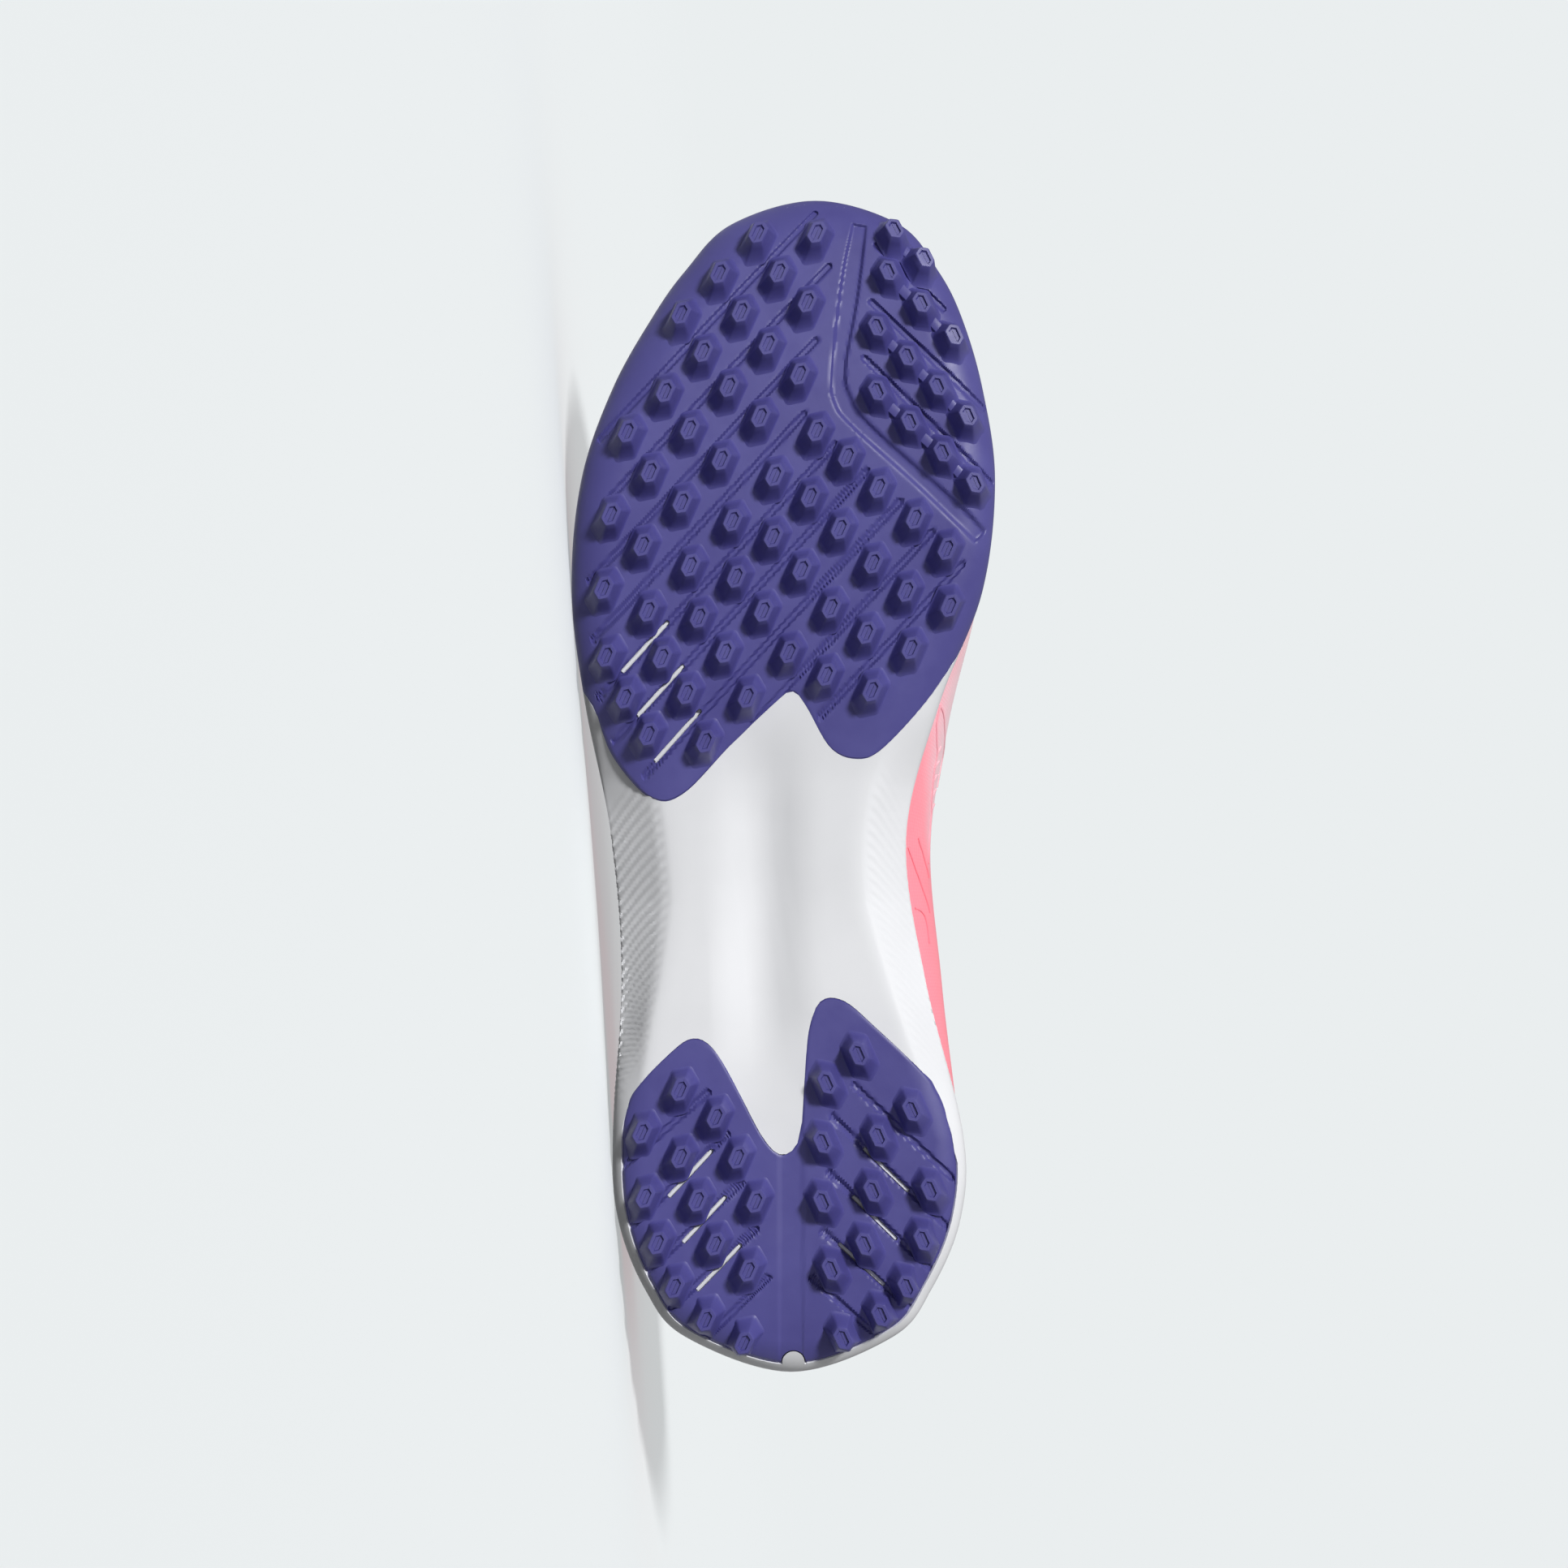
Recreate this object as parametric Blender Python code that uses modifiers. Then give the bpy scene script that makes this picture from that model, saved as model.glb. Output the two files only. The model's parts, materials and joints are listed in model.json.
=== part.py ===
# A right football shoe for artificial turf, lying on its lateral side.
# It is drawn upright (+X to the toe, +Y to the medial side, +Z up, lug tips at
# z = 0), and an empty then lays it on the side that it rests on.

import math
from collections import namedtuple

import bmesh
import bpy
import numpy as np
from mathutils import Matrix, Vector

# Sole, in metres
SHOE_LENGTH = 0.288
BALL_WIDTH = 0.104
HEEL_WIDTH = 0.086
HEEL_STACK = 0.0220
BALL_STACK = 0.0155
TOE_SPRING = 0.0150
HEEL_BEVEL = 0.0035
ARCH_LIFT = 0.0020
FLANK_RISE = 0.0090
RIM_HEIGHT = 0.0045
RIM_WALL = 0.0018
RIM_DRAFT = 0.0006
RIM_END_RISE = 0.35
RIB_COUNT = 12
RIB_HEIGHT = 0.0005
RIB_WIDTH = 0.0016
RIB_SWEEP = 0.0090
RIB_CURVE = 1.4

# Where the sole changes, as shares of its length from the heel
HEEL_BEVEL_END = 0.12
TOE_SPRING_START = 0.70
WIDTH_CHANGE = (0.30, 0.60)
FOOTBED_SLOPE = (0.30, 0.66)
ARCH_START = (0.30, 0.42)
ARCH_END = (0.50, 0.60)
HIGH_RIM_AT_HEEL = (0.05, 0.25)
HIGH_RIM_AT_TOE = (0.85, 1.0)
RIBS_ALONG = (0.30, 0.52)
FOOTBED_TOE_SHARE = 0.9

# Where a rib's sections lie, as shares of the way across the flank
RIB_STATIONS = (0.10, 0.55, 0.93)

# Rubber plates and their lugs
PLATE_THICKNESS = 0.0020
PLATE_WRAP = 0.0045
PLATE_MARGIN = 0.0025
NOTCH_RADIUS = 0.0030
LUG_HEIGHT = 0.0060
LUG_LENGTH = 0.0120
LUG_WIDTH = 0.0080
LUG_TIP_SHARE = 0.50
LUG_TURN = math.radians(22)

# Upper, tongue, insole and laces
COLLAR_HEIGHT = 0.080
INSTEP_HEIGHT = 0.092
VAMP_HEIGHT = 0.057
COLLAR_WIDTH = 0.061
THROAT_WIDTH = 0.028
UPPER_WALL = 0.0020
LASTING_MARGIN = 0.0070
EYESTAY_STEP = 0.0007
EYELET_PAIRS = 6
EYELET_RADIUS = 0.0023
EYELET_INSET = 0.0070
TONGUE_THICKNESS = 0.0040
TONGUE_WING = 0.0130
TONGUE_CLEARANCE = 0.0013
TONGUE_RISE = 0.0300
TONGUE_TUCK = 0.0200
INSOLE_THICKNESS = 0.0035
LACE_WIDTH = 0.0050
LACE_THICKNESS = 0.0014
LACE_CROWN = 0.0012

# Along the throat, as shares of the length
THROAT_START = 0.36
EYELETS_ALONG = (0.640, 0.412)
TONGUE_ALONG = (0.655, 0.430)

# The tongue: sections along the throat, rise of its crown per width of the
# throat, and how each section beyond the throat's ends goes on from it
TONGUE_SECTIONS = 7
TONGUE_CROWN = 0.096
TONGUE_CROWN_FROM = 0.3
TONGUE_TUCK_SLOPE = 0.42
TongueEnd = namedtuple("TongueEnd", "reach spread lift")
TONGUE_FRONT = [TongueEnd(0.5, 0.85, 0.0), TongueEnd(1.0, 0.60, 0.0)]
TONGUE_TOP = [TongueEnd(0.35, 0.74, 0.0), TongueEnd(0.65, 0.69, 0.10), TongueEnd(1.0, 0.68, 0.30)]

# Height of each stretch of lace over the eyestay, in thicknesses of the lace
FRONT_LACE_LAYERS = (0.70, 0.60)
LATERAL_LACE_LAYERS = (0.50, 0.15)
MEDIAL_LACE_LAYERS = (0.35, 0.00)

# Clear space between curved neighbours
GAP = 0.0003

# Reach of the cutting blocks below and above the sole, and beyond its sides
TOOL_DEPTH = 0.05
TOOL_HEIGHT = 0.15
TOOL_SPARE = 0.02
NOTCH_SIDES = 16
EYELET_SIDES = 8

# Half the span that a slope of the lower skin is taken over
SLOPE_STEP = 0.001

# Plan outline of the sole, heel to toe. "along" is a share of the length, the
# two half widths are shares of the width that local_width gives there.
OutlineRow = namedtuple("OutlineRow", "along lateral medial")
OUTLINE = [
    OutlineRow(0.000, -0.020, 0.020),
    OutlineRow(0.030, 0.279, 0.308),
    OutlineRow(0.071, 0.395, 0.419),
    OutlineRow(0.133, 0.473, 0.503),
    OutlineRow(0.205, 0.486, 0.508),
    OutlineRow(0.335, 0.457, 0.398),
    OutlineRow(0.455, 0.443, 0.314),
    OutlineRow(0.567, 0.470, 0.367),
    OutlineRow(0.663, 0.499, 0.466),
    OutlineRow(0.757, 0.477, 0.496),
    OutlineRow(0.835, 0.405, 0.468),
    OutlineRow(0.897, 0.312, 0.420),
    OutlineRow(0.938, 0.234, 0.365),
    OutlineRow(0.979, 0.125, 0.273),
    OutlineRow(1.000, -0.075, 0.075),
]

# How far the sole's lower edge rolls in (share of the local width) and up
# (share of FLANK_RISE): narrow under heel and ball, wide flanks at the arch.
FlankRow = namedtuple("FlankRow", "along roll_lateral roll_medial rise_lateral rise_medial")
FLANKS = [
    FlankRow(0.00, 0.10, 0.10, 0.75, 0.75),
    FlankRow(0.20, 0.09, 0.09, 0.70, 0.70),
    FlankRow(0.30, 0.13, 0.13, 0.80, 0.80),
    FlankRow(0.40, 0.21, 0.17, 1.00, 1.05),
    FlankRow(0.50, 0.20, 0.15, 0.95, 1.05),
    FlankRow(0.60, 0.12, 0.11, 0.75, 0.80),
    FlankRow(0.70, 0.09, 0.09, 0.70, 0.70),
    FlankRow(0.90, 0.10, 0.10, 0.70, 0.70),
    FlankRow(1.00, 0.10, 0.10, 0.70, 0.70),
]

# The upper at the same sections as OUTLINE. The edge columns place the rim of
# collar and throat: along as a share of the length, half widths as shares of
# COLLAR_WIDTH or THROAT_WIDTH, height as a share of the height in "level".
# Lean and rise pull the wall out and up from the sole; spread and drop pull it
# out and down from the rim. All four are shares of COLLAR_HEIGHT.
UpperRow = namedtuple(
    "UpperRow",
    "edge_along edge_lateral edge_medial width edge_height level"
    " lean_lateral lean_medial rise spread drop",
)
UPPER = [
    UpperRow(0.030, -0.02, 0.02, COLLAR_WIDTH, 1.00, COLLAR_HEIGHT, 0.04, 0.04, 0.26, 0.04, 0.22),
    UpperRow(0.033, 0.18, 0.20, COLLAR_WIDTH, 0.99, COLLAR_HEIGHT, 0.05, 0.05, 0.26, 0.04, 0.22),
    UpperRow(0.052, 0.33, 0.35, COLLAR_WIDTH, 0.94, COLLAR_HEIGHT, 0.07, 0.06, 0.25, 0.04, 0.22),
    UpperRow(0.097, 0.43, 0.44, COLLAR_WIDTH, 0.86, COLLAR_HEIGHT, 0.09, 0.07, 0.22, 0.05, 0.20),
    UpperRow(0.163, 0.49, 0.50, COLLAR_WIDTH, 0.79, COLLAR_HEIGHT, 0.10, 0.10, 0.20, 0.06, 0.18),
    UpperRow(0.275, 0.48, 0.50, COLLAR_WIDTH, 0.83, COLLAR_HEIGHT, 0.11, 0.22, 0.19, 0.07, 0.18),
    UpperRow(0.365, 0.62, 0.70, THROAT_WIDTH, 0.93, INSTEP_HEIGHT, 0.13, 0.29, 0.19, 0.15, 0.20),
    UpperRow(0.420, 0.43, 0.53, THROAT_WIDTH, 0.985, INSTEP_HEIGHT, 0.14, 0.23, 0.19, 0.20, 0.12),
    UpperRow(0.503, 0.37, 0.46, THROAT_WIDTH, 0.86, INSTEP_HEIGHT, 0.15, 0.13, 0.19, 0.23, 0.07),
    UpperRow(0.590, 0.34, 0.42, THROAT_WIDTH, 0.745, INSTEP_HEIGHT, 0.12, 0.09, 0.19, 0.26, 0.055),
    UpperRow(0.648, 0.29, 0.38, THROAT_WIDTH, 1.07, VAMP_HEIGHT, 0.09, 0.06, 0.19, 0.32, 0.05),
    UpperRow(0.673, 0.22, 0.33, THROAT_WIDTH, 1.03, VAMP_HEIGHT, 0.07, 0.05, 0.18, 0.42, 0.06),
    UpperRow(0.683, 0.14, 0.26, THROAT_WIDTH, 1.01, VAMP_HEIGHT, 0.06, 0.05, 0.18, 0.50, 0.06),
    UpperRow(0.688, 0.05, 0.17, THROAT_WIDTH, 1.00, VAMP_HEIGHT, 0.05, 0.05, 0.18, 0.56, 0.07),
    UpperRow(0.690, -0.06, 0.06, THROAT_WIDTH, 1.00, VAMP_HEIGHT, 0.05, 0.05, 0.18, 0.58, 0.07),
]

# Rows of lugs: the first and last lug of each, as shares of the length and of
# the ball or heel width, their length as a share of LUG_LENGTH, and which way
# their long axis turns.
LugRow = namedtuple("LugRow", "along across last_along last_across count length turn")
FOREFOOT_LUGS = [
    LugRow(0.898, -0.241, 0.968, -0.061, 3, 1.00, 1),
    LugRow(0.797, -0.365, 0.968, 0.077, 6, 1.00, 1),
    LugRow(0.727, -0.403, 0.908, 0.055, 6, 1.00, 1),
    LugRow(0.665, -0.420, 0.846, 0.037, 6, 1.00, 1),
    LugRow(0.608, -0.414, 0.798, 0.077, 6, 1.00, 1),
    LugRow(0.573, -0.370, 0.776, 0.148, 7, 1.00, 1),
    LugRow(0.542, -0.316, 0.750, 0.221, 7, 1.00, 1),
    LugRow(0.536, -0.183, 0.724, 0.306, 6, 1.00, 1),
    LugRow(0.592, 0.099, 0.698, 0.380, 4, 1.00, 1),
    LugRow(0.579, 0.205, 0.650, 0.387, 3, 1.00, 1),
    LugRow(0.972, 0.260, 0.947, 0.331, 2, 0.78, -1),
    LugRow(0.935, 0.245, 0.880, 0.399, 3, 0.78, -1),
    LugRow(0.887, 0.218, 0.811, 0.430, 4, 0.78, -1),
    LugRow(0.832, 0.218, 0.754, 0.446, 4, 0.78, -1),
]
HEEL_LUGS = [
    LugRow(0.207, -0.400, 0.243, -0.292, 2, 1.00, 1),
    LugRow(0.153, -0.391, 0.220, -0.191, 3, 1.00, 1),
    LugRow(0.114, -0.356, 0.186, -0.130, 3, 1.00, 1),
    LugRow(0.077, -0.308, 0.149, -0.079, 3, 1.00, 1),
    LugRow(0.049, -0.220, 0.091, -0.100, 2, 1.00, 1),
    LugRow(0.029, -0.113, 0.029, -0.113, 1, 1.00, 1),
    LugRow(0.273, 0.210, 0.226, 0.360, 2, 1.00, -1),
    LugRow(0.249, 0.121, 0.159, 0.412, 3, 1.00, -1),
    LugRow(0.199, 0.109, 0.117, 0.392, 3, 1.00, -1),
    LugRow(0.149, 0.109, 0.077, 0.347, 3, 1.00, -1),
    LugRow(0.092, 0.133, 0.053, 0.273, 2, 1.00, -1),
    LugRow(0.033, 0.166, 0.033, 0.166, 1, 1.00, -1),
]

# Edges of the rubber plates that cross the sole, lateral to medial, as shares
# of the length and of the ball or heel width
EdgePoint = namedtuple("EdgePoint", "along across")
FOREFOOT_EDGE = [
    EdgePoint(0.610, -0.560),
    EdgePoint(0.570, -0.460),
    EdgePoint(0.522, -0.400),
    EdgePoint(0.487, -0.310),
    EdgePoint(0.491, -0.234),
    EdgePoint(0.532, -0.123),
    EdgePoint(0.570, -0.012),
    EdgePoint(0.577, 0.020),
    EdgePoint(0.566, 0.048),
    EdgePoint(0.530, 0.106),
    EdgePoint(0.520, 0.170),
    EdgePoint(0.529, 0.232),
    EdgePoint(0.573, 0.344),
    EdgePoint(0.640, 0.470),
    EdgePoint(0.670, 0.560),
]
HEEL_EDGE = [
    EdgePoint(0.243, -0.421),
    EdgePoint(0.272, -0.330),
    EdgePoint(0.286, -0.262),
    EdgePoint(0.278, -0.200),
    EdgePoint(0.243, -0.130),
    EdgePoint(0.202, -0.057),
    EdgePoint(0.188, -0.005),
    EdgePoint(0.201, 0.040),
    EdgePoint(0.243, 0.053),
    EdgePoint(0.290, 0.066),
    EdgePoint(0.317, 0.100),
    EdgePoint(0.318, 0.170),
    EdgePoint(0.294, 0.266),
    EdgePoint(0.243, 0.416),
]

SPLINE_STEPS = 2
SPINE_SHARE = 0.80


def mix(first, second, share):
    return first + (second - first) * share


def ease(low, high, value):
    share = min(max((value - low) / (high - low), 0.0), 1.0)
    return share * share * (3.0 - 2.0 * share)


def column_at(table, column, along):
    """One column of a table, read between its rows."""
    return float(np.interp(along, [row.along for row in table], [getattr(row, column) for row in table]))


def spline_point(before, start, end, after, share):
    """Catmull-Rom between start and end."""
    return 0.5 * (
        2.0 * start
        + (end - before) * share
        + (2.0 * before - 5.0 * start + 4.0 * end - after) * share**2
        + (3.0 * start - before - 3.0 * end + after) * share**3
    )


def closed_spline(points, steps):
    count = len(points)
    return [
        spline_point(points[i - 1], points[i], points[(i + 1) % count], points[(i + 2) % count], step / steps)
        for i in range(count)
        for step in range(steps)
    ]


def open_spline(points, steps):
    padded = [2 * points[0] - points[1], *points, 2 * points[-1] - points[-2]]
    inner = [
        spline_point(*padded[i : i + 4], step / steps) for i in range(len(points) - 1) for step in range(steps)
    ]
    return inner + [points[-1]]


def local_width(along):
    """Width that the outline's shares refer to."""
    return mix(HEEL_WIDTH, BALL_WIDTH, ease(*WIDTH_CHANGE, along))


def section_loop():
    """A row for each place round the shoe: heel, lateral side, toe, medial side."""
    lateral = []
    medial = []
    for out, up in zip(OUTLINE, UPPER):
        width = local_width(out.along)
        shared = [up.rise, up.spread, up.drop]
        edge_height = up.edge_height * up.level
        edge_along = up.edge_along * SHOE_LENGTH
        lateral.append(
            np.array(
                [out.along * SHOE_LENGTH, -out.lateral * width]
                + [edge_along, -up.edge_lateral * up.width, edge_height, up.lean_lateral, *shared]
            )
        )
        medial.append(
            np.array(
                [out.along * SHOE_LENGTH, out.medial * width]
                + [edge_along, up.edge_medial * up.width, edge_height, up.lean_medial, *shared]
            )
        )
    return closed_spline(lateral + medial[-2:0:-1], SPLINE_STEPS)


LOOP = section_loop()
LOOP_SIZE = len(LOOP)
OUTLINE_POINTS = np.array([row[:2] for row in LOOP])


def outline_normal(index):
    """Outward direction of the outline in plan."""
    ahead = OUTLINE_POINTS[(index + 1) % LOOP_SIZE] - OUTLINE_POINTS[index - 1]
    out = np.array([ahead[1], -ahead[0]])
    return out / np.linalg.norm(out)


def outline_inset(index, inset):
    return OUTLINE_POINTS[index] - outline_normal(index) * inset


def spine_point(index):
    """Middle line of the sole that faces across it meet on."""
    across = OUTLINE_POINTS[(LOOP_SIZE - index) % LOOP_SIZE]
    middle = (OUTLINE_POINTS[index] + across) / 2
    centre = SHOE_LENGTH / 2
    return np.array([centre + (middle[0] - centre) * SPINE_SHARE, middle[1]])


def edge_distance(x, y):
    """Distance in plan from a point to the outline."""
    start = OUTLINE_POINTS
    run = np.roll(OUTLINE_POINTS, -1, axis=0) - start
    point = np.array([x, y])
    share = np.clip(((point - start) * run).sum(1) / (run * run).sum(1), 0.0, 1.0)
    return float(np.linalg.norm(start + run * share[:, None] - point, axis=1).min())


def middle_line(x):
    """Y of the sole's middle at x."""
    along = x / SHOE_LENGTH
    half = (column_at(OUTLINE, "medial", along) - column_at(OUTLINE, "lateral", along)) / 2
    return half * local_width(along)


def toe_lift(along):
    return TOE_SPRING * max(0.0, (along - TOE_SPRING_START) / (1.0 - TOE_SPRING_START)) ** 2


def skin_height(x, y):
    """Height of the sole's lower skin, lugs left off."""
    along = min(max(x / SHOE_LENGTH, 0.0), 1.0)
    side = "lateral" if y < middle_line(x) else "medial"
    roll = column_at(FLANKS, "roll_" + side, along) * local_width(along)
    rise = column_at(FLANKS, "rise_" + side, along) * FLANK_RISE
    inside = min(edge_distance(x, y) / roll, 1.0)
    height = LUG_HEIGHT + toe_lift(along)
    height += HEEL_BEVEL * max(0.0, 1.0 - along / HEEL_BEVEL_END) ** 2
    height += ARCH_LIFT * ease(*ARCH_START, along) * (1.0 - ease(*ARCH_END, along))
    return height + rise * (1.0 - math.sqrt(1.0 - (1.0 - inside) ** 2))


def footbed_height(x):
    along = min(max(x / SHOE_LENGTH, 0.0), 1.0)
    return mix(HEEL_STACK, BALL_STACK, ease(*FOOTBED_SLOPE, along)) + FOOTBED_TOE_SHARE * toe_lift(along)


def rim_height(x):
    """Top of the midsole's rim, a little higher round heel and toe."""
    along = x / SHOE_LENGTH
    ends = 1.0 - ease(*HIGH_RIM_AT_HEEL, along) + ease(*HIGH_RIM_AT_TOE, along)
    return footbed_height(x) + RIM_HEIGHT * (1.0 + RIM_END_RISE * ends)


def skin_normal(x, y):
    """Outward, which is down, from the lower skin."""
    rise_x = skin_height(x + SLOPE_STEP, y) - skin_height(x - SLOPE_STEP, y)
    rise_y = skin_height(x, y + SLOPE_STEP) - skin_height(x, y - SLOPE_STEP)
    return Vector((rise_x, rise_y, -2 * SLOPE_STEP)).normalized()


def new_object(name, bm, collection):
    mesh = bpy.data.meshes.new(name)
    bm.to_mesh(mesh)
    bm.free()
    obj = bpy.data.objects.new(name, mesh)
    collection.objects.link(obj)
    return obj


def ring_mesh(rings):
    """Surface through rings of equal length."""
    bm = bmesh.new()
    rows = [[bm.verts.new(point) for point in ring] for ring in rings]
    count = len(rows[0])
    for low, high in zip(rows, rows[1:]):
        for i in range(count):
            j = (i + 1) % count
            bm.faces.new([low[i], low[j], high[j], high[i]])
    return bm


def strip_mesh(sections):
    """Solid bar through closed sections, capped at both ends."""
    bm = bmesh.new()
    rows = [[bm.verts.new(point) for point in section] for section in sections]
    count = len(rows[0])
    for low, high in zip(rows, rows[1:]):
        for i in range(count):
            j = (i + 1) % count
            bm.faces.new([low[i], low[j], high[j], high[i]])
    bm.faces.new(reversed(rows[0]))
    bm.faces.new(rows[-1])
    bmesh.ops.recalc_face_normals(bm, faces=bm.faces)
    return bm


def merge(bm, distance=0.00002):
    """Joins the two halves along the middle line and turns the faces outwards."""
    bmesh.ops.remove_doubles(bm, verts=bm.verts, dist=distance)
    bmesh.ops.recalc_face_normals(bm, faces=bm.faces)
    return bm


def face_towards(bm, direction):
    """Turns an open surface so that its front looks along a direction."""
    if sum(face.normal.dot(direction) * face.calc_area() for face in bm.faces) < 0:
        bmesh.ops.reverse_faces(bm, faces=bm.faces)


def plan_ring(inset, height):
    ring = []
    for i in range(LOOP_SIZE):
        x, y = outline_inset(i, inset)
        ring.append((x, y, height(x, y)))
    return ring


def spine_ring(share, height, inset=0.0):
    """Ring at a share of the way from the inset outline to the middle line."""
    ring = []
    for i in range(LOOP_SIZE):
        x, y = mix(outline_inset(i, inset), spine_point(i), share)
        ring.append((x, y, height(x, y)))
    return ring


def side_ring(inset, height):
    """Ring on the sole's side wall, at a height worked out from the outline's own x and y."""
    ring = []
    for i in range(LOOP_SIZE):
        x, y = outline_inset(i, inset)
        ring.append((x, y, height(*OUTLINE_POINTS[i])))
    return ring


SKIN_SHARES = (1.0, 0.55, 0.27, 0.11, 0.03)


def skin_rings():
    """The lower skin from the middle line out to the widest line of the sole."""
    rings = [spine_ring(share, skin_height) for share in SKIN_SHARES]
    return rings + [side_ring(0.0, skin_height)]


def solidify(obj, thickness, offset):
    modifier = obj.modifiers.new("wall", "SOLIDIFY")
    modifier.thickness = thickness
    modifier.offset = offset
    modifier.use_even_offset = True
    modifier.use_quality_normals = True


def boolean(obj, other, operation, crossing=False):
    modifier = obj.modifiers.new(operation.lower(), "BOOLEAN")
    modifier.operation = operation
    modifier.use_self = crossing
    modifier.object = other


def prism(name, points, collection):
    """Upright block over a plan outline, taller than the sole."""
    bm = bmesh.new()
    base = bm.faces.new([bm.verts.new((x, y, -TOOL_DEPTH)) for x, y in points])
    top = bmesh.ops.extrude_face_region(bm, geom=[base])["geom"]
    verts = [item for item in top if isinstance(item, bmesh.types.BMVert)]
    bmesh.ops.translate(bm, verts=verts, vec=(0, 0, TOOL_HEIGHT))
    bmesh.ops.recalc_face_normals(bm, faces=bm.faces)
    return new_object(name, bm, collection)


def grown(points, distance):
    """A closed plan outline moved outwards."""
    count = len(points)
    area = sum(points[i - 1][0] * points[i][1] - points[i][0] * points[i - 1][1] for i in range(count))
    turn = 1.0 if area > 0 else -1.0
    moved = []
    for i, point in enumerate(points):
        ahead = points[(i + 1) % count] - points[i - 1]
        out = np.array([ahead[1], -ahead[0]]) * turn
        moved.append(point + out / np.linalg.norm(out) * distance)
    return moved


def edge_curve(table, width):
    points = [np.array([row.along * SHOE_LENGTH, row.across * width]) for row in table]
    return open_spline(points, SPLINE_STEPS)


def forefoot_outline():
    """Plan of the forefoot rubber: its W edge, then clear of the toe all round."""
    toe_x = SHOE_LENGTH + TOOL_SPARE
    side = BALL_WIDTH / 2 + TOOL_SPARE
    edge = edge_curve(FOREFOOT_EDGE, BALL_WIDTH)
    far = [
        np.array([edge[-1][0], side]),
        np.array([toe_x, side]),
        np.array([toe_x, -side]),
        np.array([edge[0][0], -side]),
    ]
    return edge + far


def heel_outline():
    """Plan of the heel rubber: its V edge, then the sole's outline less a margin."""
    edge = edge_curve(HEEL_EDGE, HEEL_WIDTH)
    limit_x = min(edge[0][0], edge[-1][0]) - PLATE_MARGIN
    ring = [outline_inset(i, PLATE_MARGIN) for i in range(LOOP_SIZE)]
    half = LOOP_SIZE // 2
    medial = [ring[i] for i in range(half, LOOP_SIZE) if ring[i][0] < limit_x]
    lateral = [ring[i] for i in range(half) if ring[i][0] < limit_x]
    return edge + medial + lateral


def skin_slab(name, inside, outside, wrap, collection):
    """Layer along the lower skin, and up its side where wrap gives a height."""
    rings = skin_rings()
    if wrap is None:
        rings.pop()
    else:
        rings.append(side_ring(0.0, lambda x, y: skin_height(x, y) + wrap))
    bm = merge(ring_mesh(rings))
    face_towards(bm, Vector((0, 0, -1)))
    obj = new_object(name, bm, collection)
    solidify(obj, inside + outside, (outside - inside) / (outside + inside))
    return obj


def lug_mesh(rows, width):
    """All lugs of a plate, each square to the skin that it stands on."""
    bm = bmesh.new()
    sink = PLATE_THICKNESS / 2
    depth = LUG_HEIGHT + sink
    for row in rows:
        for i in range(row.count):
            share = i / max(row.count - 1, 1)
            x = mix(row.along, row.last_along, share) * SHOE_LENGTH
            y = mix(row.across, row.last_across, share) * width
            down = skin_normal(x, y)
            foot = Vector((x, y, skin_height(x, y)))
            ahead = Vector((math.cos(LUG_TURN), row.turn * math.sin(LUG_TURN), 0.0))
            ahead = (ahead - down * ahead.dot(down)).normalized()
            beside = down.cross(ahead)
            half_length = LUG_LENGTH * row.length / 2
            frame = Matrix((ahead * half_length, beside * LUG_WIDTH / 2, down)).transposed().to_4x4()
            frame.translation = foot + down * (depth / 2 - sink)
            bmesh.ops.create_cone(
                bm, cap_ends=True, segments=6, radius1=1.0, radius2=LUG_TIP_SHARE, depth=depth, matrix=frame
            )
    bmesh.ops.recalc_face_normals(bm, faces=bm.faces)
    return bm


def rubber_plate(name, outline, wrap, rows, width, parts, tools):
    plate = skin_slab(name, PLATE_THICKNESS, 0.0, wrap, parts)
    boolean(plate, prism(name + "_plan", outline, tools), "INTERSECT")
    lugs = new_object(name + "_lugs", lug_mesh(rows, width), tools)
    boolean(plate, lugs, "UNION")
    return plate


def notch_cutter(radius, tools):
    """Half-round notch in the rear edge of the heel rubber."""
    bm = bmesh.new()
    centre = Matrix.Translation((NOTCH_RADIUS, middle_line(0.0), 0.0))
    bmesh.ops.create_cone(
        bm,
        cap_ends=True,
        segments=NOTCH_SIDES,
        radius1=radius,
        radius2=radius,
        depth=2 * TOOL_DEPTH,
        matrix=centre,
    )
    return new_object(f"notch_{radius * 1000:.1f}", bm, tools)


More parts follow.
